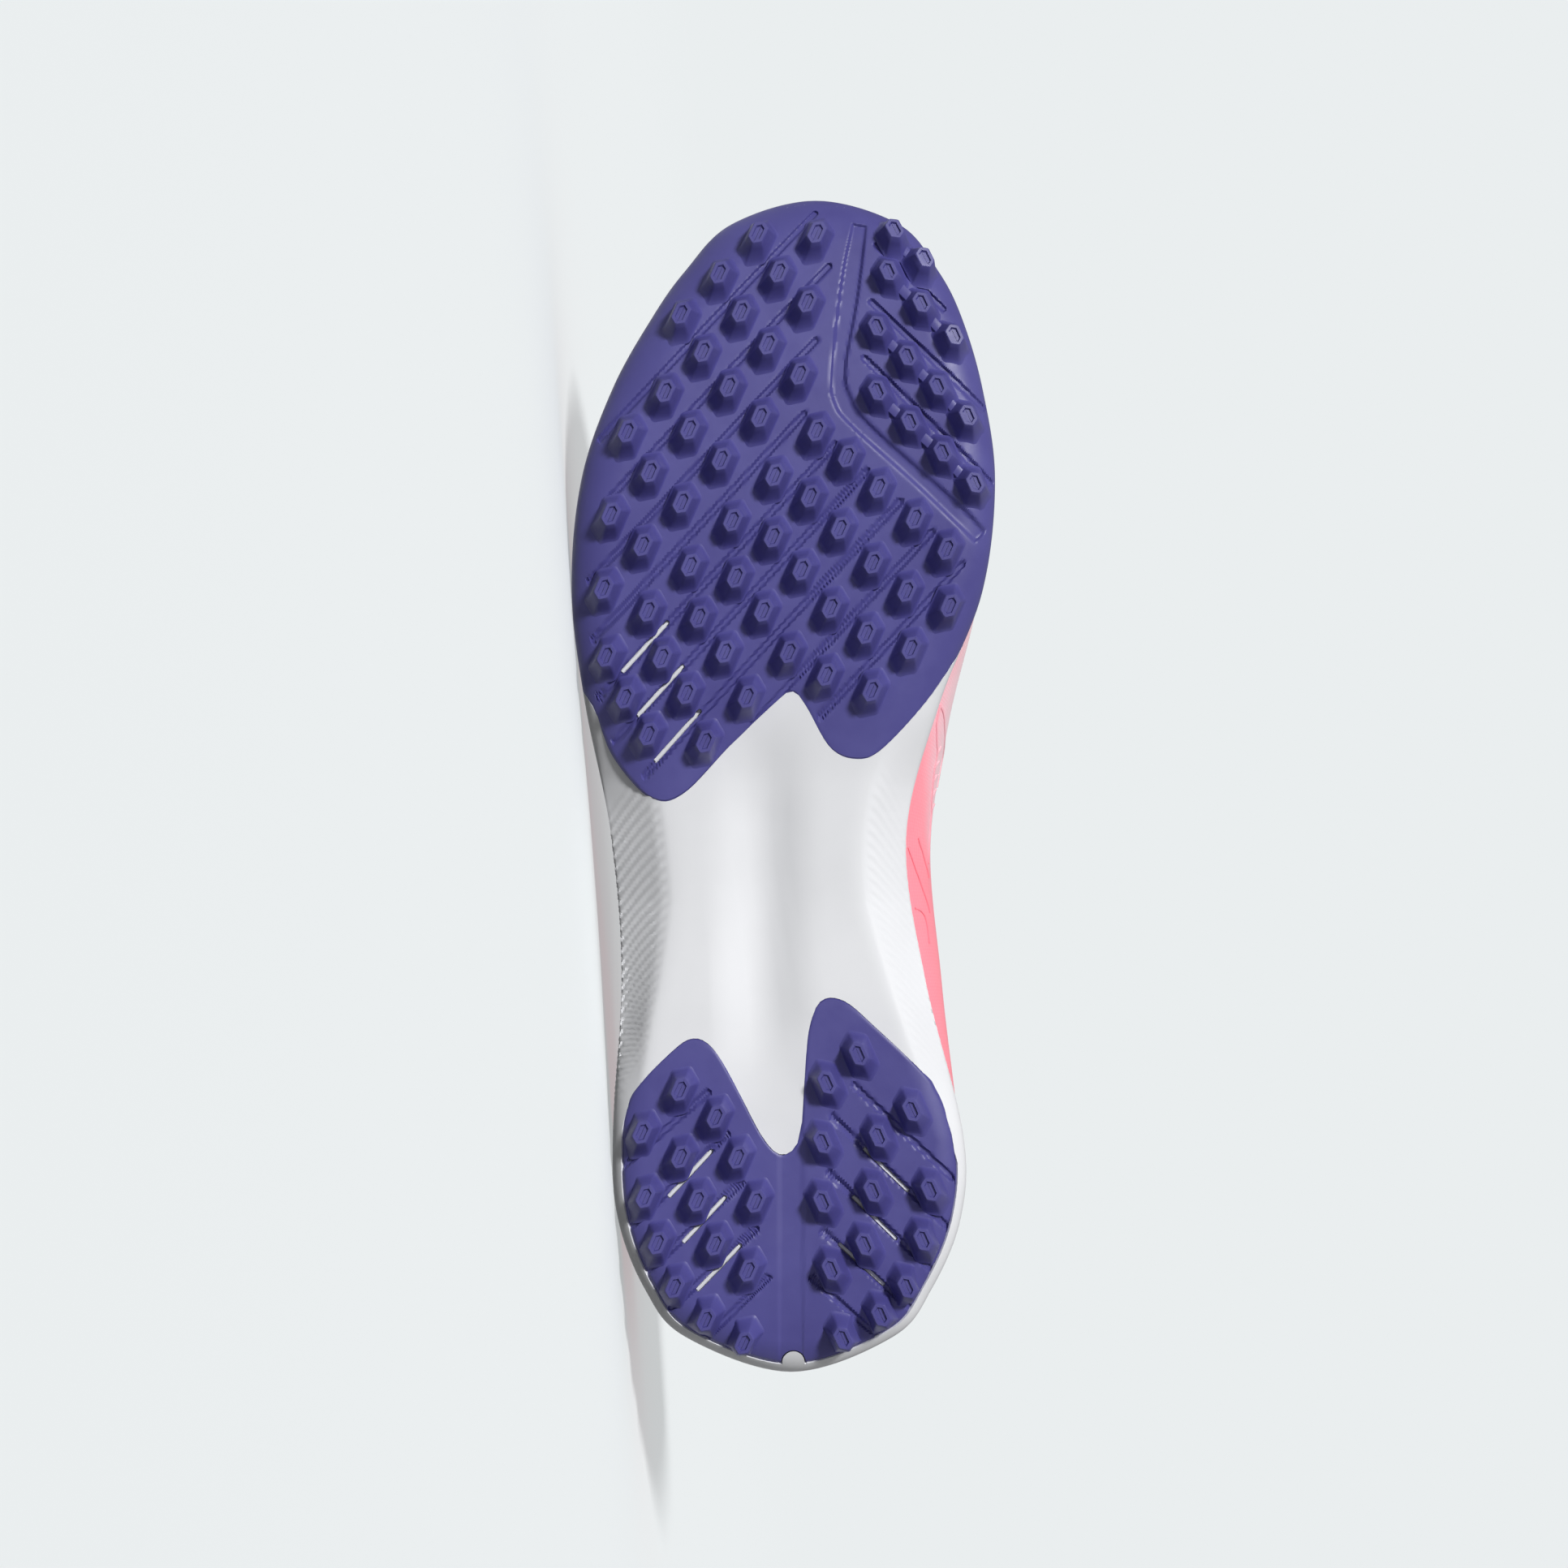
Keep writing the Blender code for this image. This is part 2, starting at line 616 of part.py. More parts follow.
def rib_mesh():
    """Curved ribs that sweep back across both flanks of the arch."""
    bm = bmesh.new()
    first, last = (share * SHOE_LENGTH for share in RIBS_ALONG)
    for side, sign in (("lateral", -1), ("medial", 1)):
        for i in range(RIB_COUNT):
            start_x = mix(first, last, i / (RIB_COUNT - 1))
            rows = []
            for share in RIB_STATIONS:
                x = start_x - RIB_SWEEP * share**RIB_CURVE
                along = x / SHOE_LENGTH
                width = local_width(along)
                roll = column_at(FLANKS, "roll_" + side, along) * width
                y = sign * (column_at(OUTLINE, side, along) * width - roll * (1.0 - share))
                foot = Vector((x, y, skin_height(x, y)))
                down = skin_normal(x, y)
                half = Vector((RIB_WIDTH / 2, 0.0, 0.0))
                root = foot - down * RIB_HEIGHT
                rows.append([root - half, root + half, foot + down * RIB_HEIGHT])
            verts = [[bm.verts.new(point) for point in row] for row in rows]
            for low, high in zip(verts, verts[1:]):
                for a in range(3):
                    b = (a + 1) % 3
                    bm.faces.new([low[a], low[b], high[b], high[a]])
            bm.faces.new(reversed(verts[0]))
            bm.faces.new(verts[-1])
    bmesh.ops.recalc_face_normals(bm, faces=bm.faces)
    return bm


def midsole(parts, tools):
    """Foam cup between the rubber and the upper, open on top for the foot."""
    rings = skin_rings()
    rings.append(side_ring(RIM_DRAFT, lambda x, y: rim_height(x)))
    rings.append(side_ring(RIM_DRAFT + RIM_WALL, lambda x, y: rim_height(x)))
    rings.append(plan_ring(RIM_DRAFT + RIM_WALL, lambda x, y: footbed_height(x)))
    rings.append(spine_ring(1.0, lambda x, y: footbed_height(x), RIM_DRAFT + RIM_WALL))
    obj = new_object("midsole", merge(ring_mesh(rings)), parts)
    boolean(obj, new_object("flank_ribs", rib_mesh(), tools), "UNION")
    return obj


def plate_pocket(obj, name, outline, wrap, tools):
    """Recess in the midsole that a rubber plate lies in, a gap clear all round."""
    outside = LUG_HEIGHT
    reach = None if wrap is None else wrap + GAP
    pocket = skin_slab(name, PLATE_THICKNESS + GAP, outside, reach, tools)
    boolean(pocket, prism(name + "_plan", grown(outline, 2 * GAP), tools), "INTERSECT")
    boolean(obj, pocket, "DIFFERENCE")
    return pocket


# Places up the wall, from the sole to the rim: the plain wall, then the eyestay
WALL_SHARES = (0.0, 0.12, 0.28, 0.45, 0.62, 0.77)
EYESTAY_SHARES = (0.80, 0.90, 1.0)
MARGIN_RINGS = 2


def wall_profile(index):
    """The upper's outer face from the sole to the rim at one place round the shoe."""
    row = LOOP[index]
    edge = Vector(row[2:5])
    lean, rise, spread, drop = (float(value) * COLLAR_HEIGHT for value in row[5:9])
    inset = RIM_DRAFT + RIM_WALL + GAP
    foot_x, foot_y = outline_inset(index, inset)
    foot = Vector((foot_x, foot_y, rim_height(foot_x) + GAP))
    out = Vector((*outline_normal(index), 0.0))
    towards = Vector((foot_x - edge.x, foot_y - edge.y, 0.0)).normalized()
    low = foot + out * lean + Vector((0, 0, rise))
    high = edge + towards * spread - Vector((0, 0, drop))
    points = []
    for t in WALL_SHARES + EYESTAY_SHARES:
        s = 1.0 - t
        points.append(foot * s**3 + low * 3 * s * s * t + high * 3 * s * t * t + edge * t**3)
    return points


def wall_rings():
    """Rings of the upper's outer face, from the turned-in margin to the rim."""
    inset = RIM_DRAFT + RIM_WALL + GAP
    rings = [
        plan_ring(inset + LASTING_MARGIN, lambda x, y: footbed_height(x) + GAP),
        plan_ring(inset, lambda x, y: footbed_height(x) + GAP),
    ]
    profiles = [wall_profile(i) for i in range(LOOP_SIZE)]
    return rings + [list(ring) for ring in zip(*profiles)]


def raised(rings):
    """Steps the band along collar and throat out of the wall."""
    bm = ring_mesh(rings)
    bmesh.ops.recalc_face_normals(bm, faces=bm.faces)
    bm.normal_update()
    bm.verts.ensure_lookup_table()
    first = (MARGIN_RINGS + len(WALL_SHARES)) * LOOP_SIZE
    sign = outward_sign(bm)
    moves = [(vert, vert.normal * sign * EYESTAY_STEP) for vert in bm.verts[first:]]
    for vert, move in moves:
        vert.co += move
    return bm


def outward_sign(bm):
    """1 where the faces of the upper already point out, or else -1."""
    middle = Vector((SHOE_LENGTH / 2, 0.0, COLLAR_HEIGHT / 2))
    facing = sum((face.calc_center_median() - middle).dot(face.normal) for face in bm.faces)
    return 1.0 if facing > 0 else -1.0


WALL = wall_rings()


def throat_place(side, edge_x, inset):
    """Point and outward normal on the wall beside the throat, an inset from its rim."""
    half = LOOP_SIZE // 2
    order = range(half + 1) if side == "lateral" else range(LOOP_SIZE - 1, half - 1, -1)
    order = [i for i in order if LOOP[i][2] > THROAT_START * SHOE_LENGTH]
    edges = [LOOP[i][2] for i in order]
    place = float(np.interp(edge_x, edges, range(len(edges))))
    low = min(int(place), len(order) - 2)
    share = place - low

    def profile(i):
        return [np.array(ring[i]) for ring in WALL[MARGIN_RINGS:]]

    line = [mix(a, b, share) for a, b in zip(profile(order[low]), profile(order[low + 1]))]
    lengths = [0.0]
    for a, b in zip(line[::-1], line[-2::-1]):
        lengths.append(lengths[-1] + float(np.linalg.norm(b - a)))
    flipped = np.array(line[::-1])
    point = np.array([np.interp(inset, lengths, flipped[:, axis]) for axis in range(3)])
    nearby = np.array([np.interp(inset + 2 * SLOPE_STEP, lengths, flipped[:, axis]) for axis in range(3)])
    down_wall = nearby - point
    next_edge = np.array(WALL[-1][order[low + 1]]) - np.array(WALL[-1][order[low]])
    normal = np.cross(down_wall, next_edge)
    normal /= np.linalg.norm(normal)
    if normal[2] < 0:
        normal = -normal
    return Vector(point), Vector(normal)


def eyelet_edges():
    """Where along the throat each pair of eyelets lies, front pair first."""
    front, back = (share * SHOE_LENGTH for share in EYELETS_ALONG)
    return [mix(front, back, i / (EYELET_PAIRS - 1)) for i in range(EYELET_PAIRS)]


def upper(parts, tools):
    """One hollow wall, open at collar and throat and over the footbed."""
    bm = raised(WALL)
    if outward_sign(bm) < 0:
        bmesh.ops.reverse_faces(bm, faces=bm.faces)
    obj = new_object("upper", bm, parts)
    solidify(obj, UPPER_WALL, -1.0)
    cutters = bmesh.new()
    for edge_x in eyelet_edges():
        for side in ("lateral", "medial"):
            point, normal = throat_place(side, edge_x, EYELET_INSET)
            turn = Vector((0, 0, 1)).rotation_difference(normal).to_matrix().to_4x4()
            bmesh.ops.create_cone(
                cutters,
                cap_ends=True,
                segments=EYELET_SIDES,
                radius1=EYELET_RADIUS,
                radius2=EYELET_RADIUS,
                depth=4 * UPPER_WALL,
                matrix=Matrix.Translation(point) @ turn,
            )
    boolean(obj, new_object("eyelet_drills", cutters, tools), "DIFFERENCE")
    return obj


def tongue_section(edge_x):
    """Across the throat at one place, from under one eyestay to under the other."""
    depth = UPPER_WALL + TONGUE_CLEARANCE
    wings = {}
    for side in ("lateral", "medial"):
        wings[side] = []
        for inset in (TONGUE_WING, TONGUE_WING / 2, 0.0):
            point, normal = throat_place(side, edge_x, inset)
            wings[side].append(point - normal * depth)
    left, right = wings["lateral"][-1], wings["medial"][-1]
    crown = Vector((0, 0, TONGUE_CROWN * (right - left).length))
    middle = [left.lerp(right, share) + crown for share in (TONGUE_CROWN_FROM, 1.0 - TONGUE_CROWN_FROM)]
    return wings["lateral"] + middle + wings["medial"][::-1]


def tongue(parts):
    front, back = (share * SHOE_LENGTH for share in TONGUE_ALONG)
    steps = TONGUE_SECTIONS - 1
    sections = [tongue_section(mix(front, back, i / steps)) for i in range(TONGUE_SECTIONS)]
    first, last = sections[0], sections[-1]
    run = (last[3] - sections[-3][3]).normalized()
    middle = (first[3] + first[4]) / 2
    for end in TONGUE_FRONT:
        move = Vector((TONGUE_TUCK, 0.0, -TONGUE_TUCK_SLOPE * TONGUE_TUCK)) * end.reach
        sections.insert(0, [middle + (point - middle) * end.spread + move for point in first])
    middle = (last[3] + last[4]) / 2
    for end in TONGUE_TOP:
        move = (run * end.reach + Vector((0, 0, end.lift))) * TONGUE_RISE
        sections.append([middle + (point - middle) * end.spread + move for point in last])
    bm = bmesh.new()
    rows = [[bm.verts.new(point) for point in section] for section in sections]
    for low, high in zip(rows, rows[1:]):
        for a, b, c, d in zip(low, low[1:], high[1:], high):
            bm.faces.new([a, b, c, d])
    bmesh.ops.recalc_face_normals(bm, faces=bm.faces)
    face_towards(bm, Vector((0, 0, 1)))
    obj = new_object("tongue", bm, parts)
    solidify(obj, TONGUE_THICKNESS, -1.0)
    return obj


def insole(parts):
    """Loose footbed over the turned-in margin of the upper."""
    inset = RIM_DRAFT + RIM_WALL + UPPER_WALL + 3 * GAP
    lift = UPPER_WALL + 2 * GAP

    def under(x, y):
        return footbed_height(x) + lift

    def over(x, y):
        return under(x, y) + INSOLE_THICKNESS

    rings = [spine_ring(1.0, under, inset), plan_ring(inset, under)]
    rings += [plan_ring(inset, over), spine_ring(1.0, over, inset)]
    return new_object("insole", merge(ring_mesh(rings)), parts)


def lace_strip(start_side, start_x, end_x, start_layer, end_layer):
    """A flat stretch of lace from an eyelet, over rim and tongue, to one opposite."""
    end_side = "medial" if start_side == "lateral" else "lateral"
    base = LACE_THICKNESS / 2 + EYESTAY_STEP + 2 * GAP
    stops = [(start_side, EYELET_INSET), (start_side, EYELET_INSET / 2), (start_side, 0.0)]
    stops += [None, (end_side, 0.0), (end_side, EYELET_INSET / 2), (end_side, EYELET_INSET)]
    places = []
    for i, stop in enumerate(stops):
        edge_x = mix(start_x, end_x, i / (len(stops) - 1))
        if stop is None:
            left, left_up = throat_place("lateral", edge_x, 0.0)
            right, right_up = throat_place("medial", edge_x, 0.0)
            up = (left_up + right_up).normalized()
            point = (left + right) / 2 + up * LACE_CROWN
        else:
            point, up = throat_place(stop[0], edge_x, stop[1])
        layer = mix(start_layer, end_layer, i / (len(stops) - 1))
        places.append((point + up * (base + layer * LACE_THICKNESS), up))
    sections = []
    for i, (centre, up) in enumerate(places):
        ahead = (places[min(i + 1, len(places) - 1)][0] - places[max(i - 1, 0)][0]).normalized()
        across = up.cross(ahead).normalized() * LACE_WIDTH / 2
        face = ahead.cross(across).normalized() * LACE_THICKNESS / 2
        corners = (-across - face, across - face, across + face, face - across)
        sections.append([centre + corner for corner in corners])
    return strip_mesh(sections)


def laces(parts, tools):
    """Crossings over the tongue, joined where they cross and at the eyelets."""
    edges = eyelet_edges()
    routes = [("lateral", edges[0], edges[0], *FRONT_LACE_LAYERS)]
    for low, high in zip(edges, edges[1:]):
        routes.append(("lateral", low, high, *LATERAL_LACE_LAYERS))
        routes.append(("medial", low, high, *MEDIAL_LACE_LAYERS))
    obj = None
    for i, route in enumerate(routes):
        bm = lace_strip(*route)
        if obj is None:
            obj = new_object("laces", bm, parts)
        else:
            boolean(obj, new_object(f"lace_{i}", bm, tools), "UNION", crossing=True)
    return obj


def finish(obj, colour, roughness):
    """The piece's own material and its shading."""
    material = bpy.data.materials.new(obj.name)
    material.use_nodes = True
    shader = material.node_tree.nodes["Principled BSDF"]
    shader.inputs["Base Color"].default_value = (*colour, 1.0)
    shader.inputs["Roughness"].default_value = roughness
    shader.inputs["Metallic"].default_value = 0.0
    obj.data.materials.append(material)
    obj.data.shade_smooth()
    obj.data.set_sharp_from_angle(angle=math.radians(35))


def solid_points(objects):
    """Corners of the finished solids, and their centre by volume."""
    depsgraph = bpy.context.evaluated_depsgraph_get()
    corners = []
    volume = 0.0
    moment = Vector()
    for obj in objects:
        bm = bmesh.new()
        bm.from_object(obj, depsgraph)
        corners += [vert.co.copy() for vert in bm.verts]
        for loops in bm.calc_loop_triangles():
            a, b, c = (loop.vert.co for loop in loops)
            piece = a.dot(b.cross(c)) / 6
            volume += piece
            moment += (a + b + c) / 4 * piece
        bm.free()
    return corners, moment / volume


def resting_normal(corners, centre):
    """Direction that points at the floor when the shoe lies on its lateral side:
    the flat of the convex hull that the centre of mass stands over."""
    bm = bmesh.new()
    for corner in corners:
        bm.verts.new(corner)
    hull = bmesh.ops.convex_hull(bm, input=bm.verts)
    faces = [item for item in hull["geom"] if isinstance(item, bmesh.types.BMFace)]
    best = None
    for face in faces:
        a, b, c = (vert.co for vert in face.verts)
        normal = (b - a).cross(c - a)
        if normal.length < 1e-12:
            continue
        normal.normalize()
        if normal.dot(a - centre) < 0:
            normal = -normal
        foot = centre + normal * normal.dot(a - centre)
        inside = all(
            (q - p).cross(foot - p).dot(normal) * (q - p).cross(r - p).dot(normal) >= 0
            for p, q, r in ((a, b, c), (b, c, a), (c, a, b))
        )
        if inside and (best is None or normal.y < best.y):
            best = normal.copy()
    bm.free()
    return best


def lay_down(objects):
    """Turns the shoe onto its side, toe to -X and sole to -Y, middle over the origin."""
    corners, centre = solid_points(objects)
    down = resting_normal(corners, centre)
    up = -down
    toe = Vector((1, 0, 0)) - up * up.x
    toe.normalize()
    turn = Matrix((-toe, up.cross(-toe), up))
    turned = [turn @ corner for corner in corners]
    low = Vector([min(point[axis] for point in turned) for axis in range(3)])
    high = Vector([max(point[axis] for point in turned) for axis in range(3)])
    stand = bpy.data.objects.new("lying_shoe", None)
    stand.matrix_world = Matrix.Translation((-(low.x + high.x) / 2, -(low.y + high.y) / 2, -low.z)) @ turn.to_4x4()
    return stand


def main():
    for obj in list(bpy.data.objects):
        bpy.data.objects.remove(obj)
    parts = bpy.data.collections.new("football_shoe")
    tools = bpy.data.collections.new("cutters")
    for collection in (parts, tools):
        bpy.context.scene.collection.children.link(collection)

    sole = midsole(parts, tools)
    forefoot = rubber_plate(
        "outsole_forefoot", forefoot_outline(), PLATE_WRAP, FOREFOOT_LUGS, BALL_WIDTH, parts, tools
    )
    heel = rubber_plate("outsole_heel", heel_outline(), None, HEEL_LUGS, HEEL_WIDTH, parts, tools)
    boolean(heel, notch_cutter(NOTCH_RADIUS, tools), "DIFFERENCE")
    plate_pocket(sole, "forefoot_pocket", forefoot_outline(), PLATE_WRAP, tools)
    heel_pocket = plate_pocket(sole, "heel_pocket", heel_outline(), None, tools)
    boolean(heel_pocket, notch_cutter(NOTCH_RADIUS - GAP, tools), "DIFFERENCE")

    finish(sole, (0.75, 0.76, 0.78), 0.55)
    finish(forefoot, (0.080, 0.072, 0.290), 0.40)
    finish(heel, (0.080, 0.072, 0.290), 0.40)
    finish(upper(parts, tools), (0.95, 0.27, 0.32), 0.85)
    finish(tongue(parts), (0.88, 0.50, 0.55), 0.90)
    finish(insole(parts), (0.25, 0.24, 0.40), 0.90)
    finish(laces(parts, tools), (0.85, 0.82, 0.84), 0.80)

    for tool in tools.objects:
        tool.hide_render = True
        tool.display_type = "WIRE"
    stand = lay_down(list(parts.objects))
    for piece in [*parts.objects, *tools.objects]:
        piece.parent = stand
    parts.objects.link(stand)
    bpy.context.view_layer.update()


main()
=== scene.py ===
import json
import math

import bpy
import numpy as np
from mathutils import Matrix, Vector


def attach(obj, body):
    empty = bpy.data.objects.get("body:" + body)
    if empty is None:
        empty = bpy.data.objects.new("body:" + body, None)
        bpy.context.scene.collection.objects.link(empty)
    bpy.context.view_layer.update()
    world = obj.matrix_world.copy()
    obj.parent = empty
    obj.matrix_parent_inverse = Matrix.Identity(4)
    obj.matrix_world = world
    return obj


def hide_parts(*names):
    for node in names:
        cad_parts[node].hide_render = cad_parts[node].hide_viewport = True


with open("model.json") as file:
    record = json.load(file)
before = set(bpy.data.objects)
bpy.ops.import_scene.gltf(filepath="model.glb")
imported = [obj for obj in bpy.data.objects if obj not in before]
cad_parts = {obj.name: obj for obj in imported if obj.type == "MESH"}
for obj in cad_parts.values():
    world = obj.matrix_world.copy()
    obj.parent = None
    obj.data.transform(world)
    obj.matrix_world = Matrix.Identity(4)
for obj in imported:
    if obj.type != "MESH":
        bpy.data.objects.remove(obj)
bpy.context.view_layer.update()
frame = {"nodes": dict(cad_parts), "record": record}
print("Frame loaded:", ", ".join(sorted(frame["nodes"])))

# The shoe's own sizes, in metres: x runs to the toe, y to the medial side, z up from the lug tips
shoe = {
    "length": 0.288,
    "ballWidth": 0.104,
    "heelWidth": 0.086,
    "heelStack": 0.0220,
    "ballStack": 0.0155,
    "toeSpring": 0.0150,
    "heelBevel": 0.0035,
    "archLift": 0.0020,
    "flankRise": 0.0090,
    "rimHeight": 0.0045,
    "rimWall": 0.0018,
    "rimDraft": 0.0006,
    "lugHeight": 0.0060,
    "gap": 0.0003,
}

# Heel to toe: along as a share of the length, half widths as shares of the local width
outlineRows = [
    (0.000, -0.020, 0.020),
    (0.030, 0.279, 0.308),
    (0.071, 0.395, 0.419),
    (0.133, 0.473, 0.503),
    (0.205, 0.486, 0.508),
    (0.335, 0.457, 0.398),
    (0.455, 0.443, 0.314),
    (0.567, 0.470, 0.367),
    (0.663, 0.499, 0.466),
    (0.757, 0.477, 0.496),
    (0.835, 0.405, 0.468),
    (0.897, 0.312, 0.420),
    (0.938, 0.234, 0.365),
    (0.979, 0.125, 0.273),
    (1.000, -0.075, 0.075),
]

# Along, then how far the lower edge rolls in (lateral, medial) and up (lateral, medial)
flankRows = [
    (0.00, 0.10, 0.10, 0.75, 0.75),
    (0.20, 0.09, 0.09, 0.70, 0.70),
    (0.30, 0.13, 0.13, 0.80, 0.80),
    (0.40, 0.21, 0.17, 1.00, 1.05),
    (0.50, 0.20, 0.15, 0.95, 1.05),
    (0.60, 0.12, 0.11, 0.75, 0.80),
    (0.70, 0.09, 0.09, 0.70, 0.70),
    (0.90, 0.10, 0.10, 0.70, 0.70),
    (1.00, 0.10, 0.10, 0.70, 0.70),
]


def mix(first, second, share):
    return first + (second - first) * share


def ease(low, high, value):
    share = np.clip((value - low) / (high - low), 0.0, 1.0)
    return share * share * (3.0 - 2.0 * share)


def window(value, start, full, fade, end):
    # 0 outside, 1 between full and fade
    return ease(start, full, value) * (1.0 - ease(fade, end, value))


def column(rows, number, along):
    return np.interp(along, [row[0] for row in rows], [row[number] for row in rows])


def localWidth(along):
    return mix(shoe["heelWidth"], shoe["ballWidth"], ease(0.30, 0.60, along))


def splinePoint(before, start, end, after, share):
    return 0.5 * (
        2.0 * start
        + (end - before) * share
        + (2.0 * before - 5.0 * start + 4.0 * end - after) * share**2
        + (3.0 * start - before - 3.0 * end + after) * share**3
    )


def closedSpline(points, stepCounts):
    # One smooth loop through the points, with as many steps after each as the list says
    count = len(points)
    line = []
    for i, steps in enumerate(stepCounts):
        ends = [points[i - 1], points[i], points[(i + 1) % count], points[(i + 2) % count]]
        line += [splinePoint(*ends, step / steps) for step in range(steps)]
    return np.array(line)


def openSpline(points, steps):
    points = [np.array(point, float) for point in points]
    padded = [2 * points[0] - points[1], *points, 2 * points[-1] - points[-2]]
    line = [splinePoint(*padded[i:i + 4], step / steps) for i in range(len(points) - 1) for step in range(steps)]
    return np.array(line + [points[-1]])


def outlineLoop(stepCounts):
    # Heel, lateral side, toe, medial side
    along = [row[0] * shoe["length"] for row in outlineRows]
    width = [localWidth(row[0]) for row in outlineRows]
    lateral = [np.array([x, -row[1] * w]) for x, w, row in zip(along, width, outlineRows)]
    medial = [np.array([x, row[2] * w]) for x, w, row in zip(along, width, outlineRows)]
    return closedSpline(lateral + medial[-2:0:-1], stepCounts)


outline = outlineLoop([12] * (2 * len(outlineRows) - 2))
halfLoop = len(outline) // 2
lateralLine = outline[:halfLoop + 1]
medialLine = np.vstack([outline[halfLoop:], outline[:1]])[::-1]


def sideY(x, line):
    # Y of one side of the outline at x
    order = np.argsort(line[:, 0])
    return np.interp(x, line[order, 0], line[order, 1])


def middleY(x):
    along = x / shoe["length"]
    return (column(outlineRows, 2, along) - column(outlineRows, 1, along)) / 2 * localWidth(along)


def lineDistance(points, line, closed=False):
    # Distance in plan from each point to a line of points
    start = line if closed else line[:-1]
    end = np.roll(line, -1, axis=0) if closed else line[1:]
    run = end - start
    size = (run * run).sum(1)
    nearest = []
    for part in np.array_split(np.asarray(points, float), max(1, len(points) // 4000)):
        away = part[:, None, :] - start[None]
        share = np.clip((away * run[None]).sum(2) / size[None], 0.0, 1.0)
        nearest.append(np.sqrt((((away - run[None] * share[:, :, None]) ** 2).sum(2)).min(1)))
    return np.concatenate(nearest)


def insideLine(points, line):
    # True for the points inside a closed line
    x, y = points[:, 0], points[:, 1]
    inside = np.zeros(len(points), bool)
    for (x1, y1), (x2, y2) in zip(line, np.roll(line, -1, axis=0)):
        if y1 == y2:
            continue
        crosses = ((y1 > y) != (y2 > y)) & (x < (x2 - x1) * (y - y1) / (y2 - y1) + x1)
        inside ^= crosses
    return inside


def outward(ahead):
    # Unit directions in plan, square to a line's runs
    out = np.stack([ahead[:, 1], -ahead[:, 0]], 1)
    return out / np.linalg.norm(out, axis=1)[:, None]


def toeLift(along):
    return shoe["toeSpring"] * np.maximum(0.0, (along - 0.70) / 0.30) ** 2


def flankShare(x, y, distance):
    # 0 on the flat of the sole, 1 at its outline
    along = np.clip(x / shoe["length"], 0.0, 1.0)
    lateral = y < middleY(x)
    roll = np.where(lateral, column(flankRows, 1, along), column(flankRows, 2, along)) * localWidth(along)
    return 1.0 - np.minimum(distance / roll, 1.0)


def skinHeight(x, y, distance):
    # Height of the sole's lower skin without its lugs
    along = np.clip(x / shoe["length"], 0.0, 1.0)
    lateral = y < middleY(x)
    rise = np.where(lateral, column(flankRows, 3, along), column(flankRows, 4, along)) * shoe["flankRise"]
    height = shoe["lugHeight"] + toeLift(along)
    height = height + shoe["heelBevel"] * np.maximum(0.0, (0.12 - along) / 0.12) ** 2
    height = height + shoe["archLift"] * window(along, 0.30, 0.42, 0.50, 0.60)
    share = flankShare(x, y, distance)
    return height + rise * (1.0 - np.sqrt(np.maximum(0.0, 1.0 - share**2)))


def skinPoint(x, y):
    distance = lineDistance([(x, y)], outline, True)
    return Vector((x, y, float(skinHeight(np.array([x]), np.array([y]), distance)[0])))


def skinDown(x, y):
    step = 0.001
    ahead = skinPoint(x + step, y) - skinPoint(x - step, y)
    beside = skinPoint(x, y + step) - skinPoint(x, y - step)
    return beside.cross(ahead).normalized()


def footbedHeight(x):
    along = np.clip(x / shoe["length"], 0.0, 1.0)
    return mix(shoe["heelStack"], shoe["ballStack"], ease(0.30, 0.66, along)) + 0.9 * toeLift(along)


def rimTop(x):
    along = x / shoe["length"]
    ends = 1.0 - ease(0.05, 0.25, along) + ease(0.85, 1.0, along)
    return footbedHeight(x) + shoe["rimHeight"] * (1.0 + 0.35 * ends)


def shoeToRow():
    # The insole's heel seat and its normal give where the lying shoe is
    seat = next(mount for mount in frame["record"]["mounts"] if mount["name"] == "heel_seat")
    up = Vector(seat["axis"]).normalized()
    toe = Vector((up.z, 0.0, -up.x)).normalized()
    medial = up.cross(toe)
    turn = Matrix((toe, medial, up)).transposed()
    heelSeat = Vector((0.045, 0.0, 0.0281))
    return Matrix.Translation(Vector(seat["pos_m"]) - turn @ heelSeat) @ turn.to_4x4()


lyingPose = shoeToRow()


def deselectAll():
    if bpy.context.mode != "OBJECT":
        bpy.ops.object.mode_set(mode="OBJECT")
    bpy.ops.object.select_all(action="DESELECT")


def makeActive(piece):
    deselectAll()
    piece.select_set(True)
    bpy.context.view_layer.objects.active = piece


def coordinates(piece):
    points = np.empty(len(piece.data.vertices) * 3)
    piece.data.vertices.foreach_get("co", points)
    return points.reshape(-1, 3)


def setCoordinates(piece, points):
    piece.data.vertices.foreach_set("co", np.ascontiguousarray(points, float).ravel())
    piece.data.update()


def startEdit(piece, action="SELECT"):
    makeActive(piece)
    bpy.ops.object.mode_set(mode="EDIT")
    bpy.ops.mesh.select_all(action=action)


def endEdit():
    bpy.ops.object.mode_set(mode="OBJECT")


def addShape(kind, **settings):
    deselectAll()
    getattr(bpy.ops.mesh, f"primitive_{kind}_add")(**settings)
    return bpy.context.active_object


def addGrid(name, points):
    # A grid through rows of points
    rows, columns = points.shape[:2]
    piece = addShape("grid", x_subdivisions=columns - 1, y_subdivisions=rows - 1, size=2)
    piece.name = name
    piece.data.name = name
    setCoordinates(piece, points.reshape(-1, 3))
    return piece


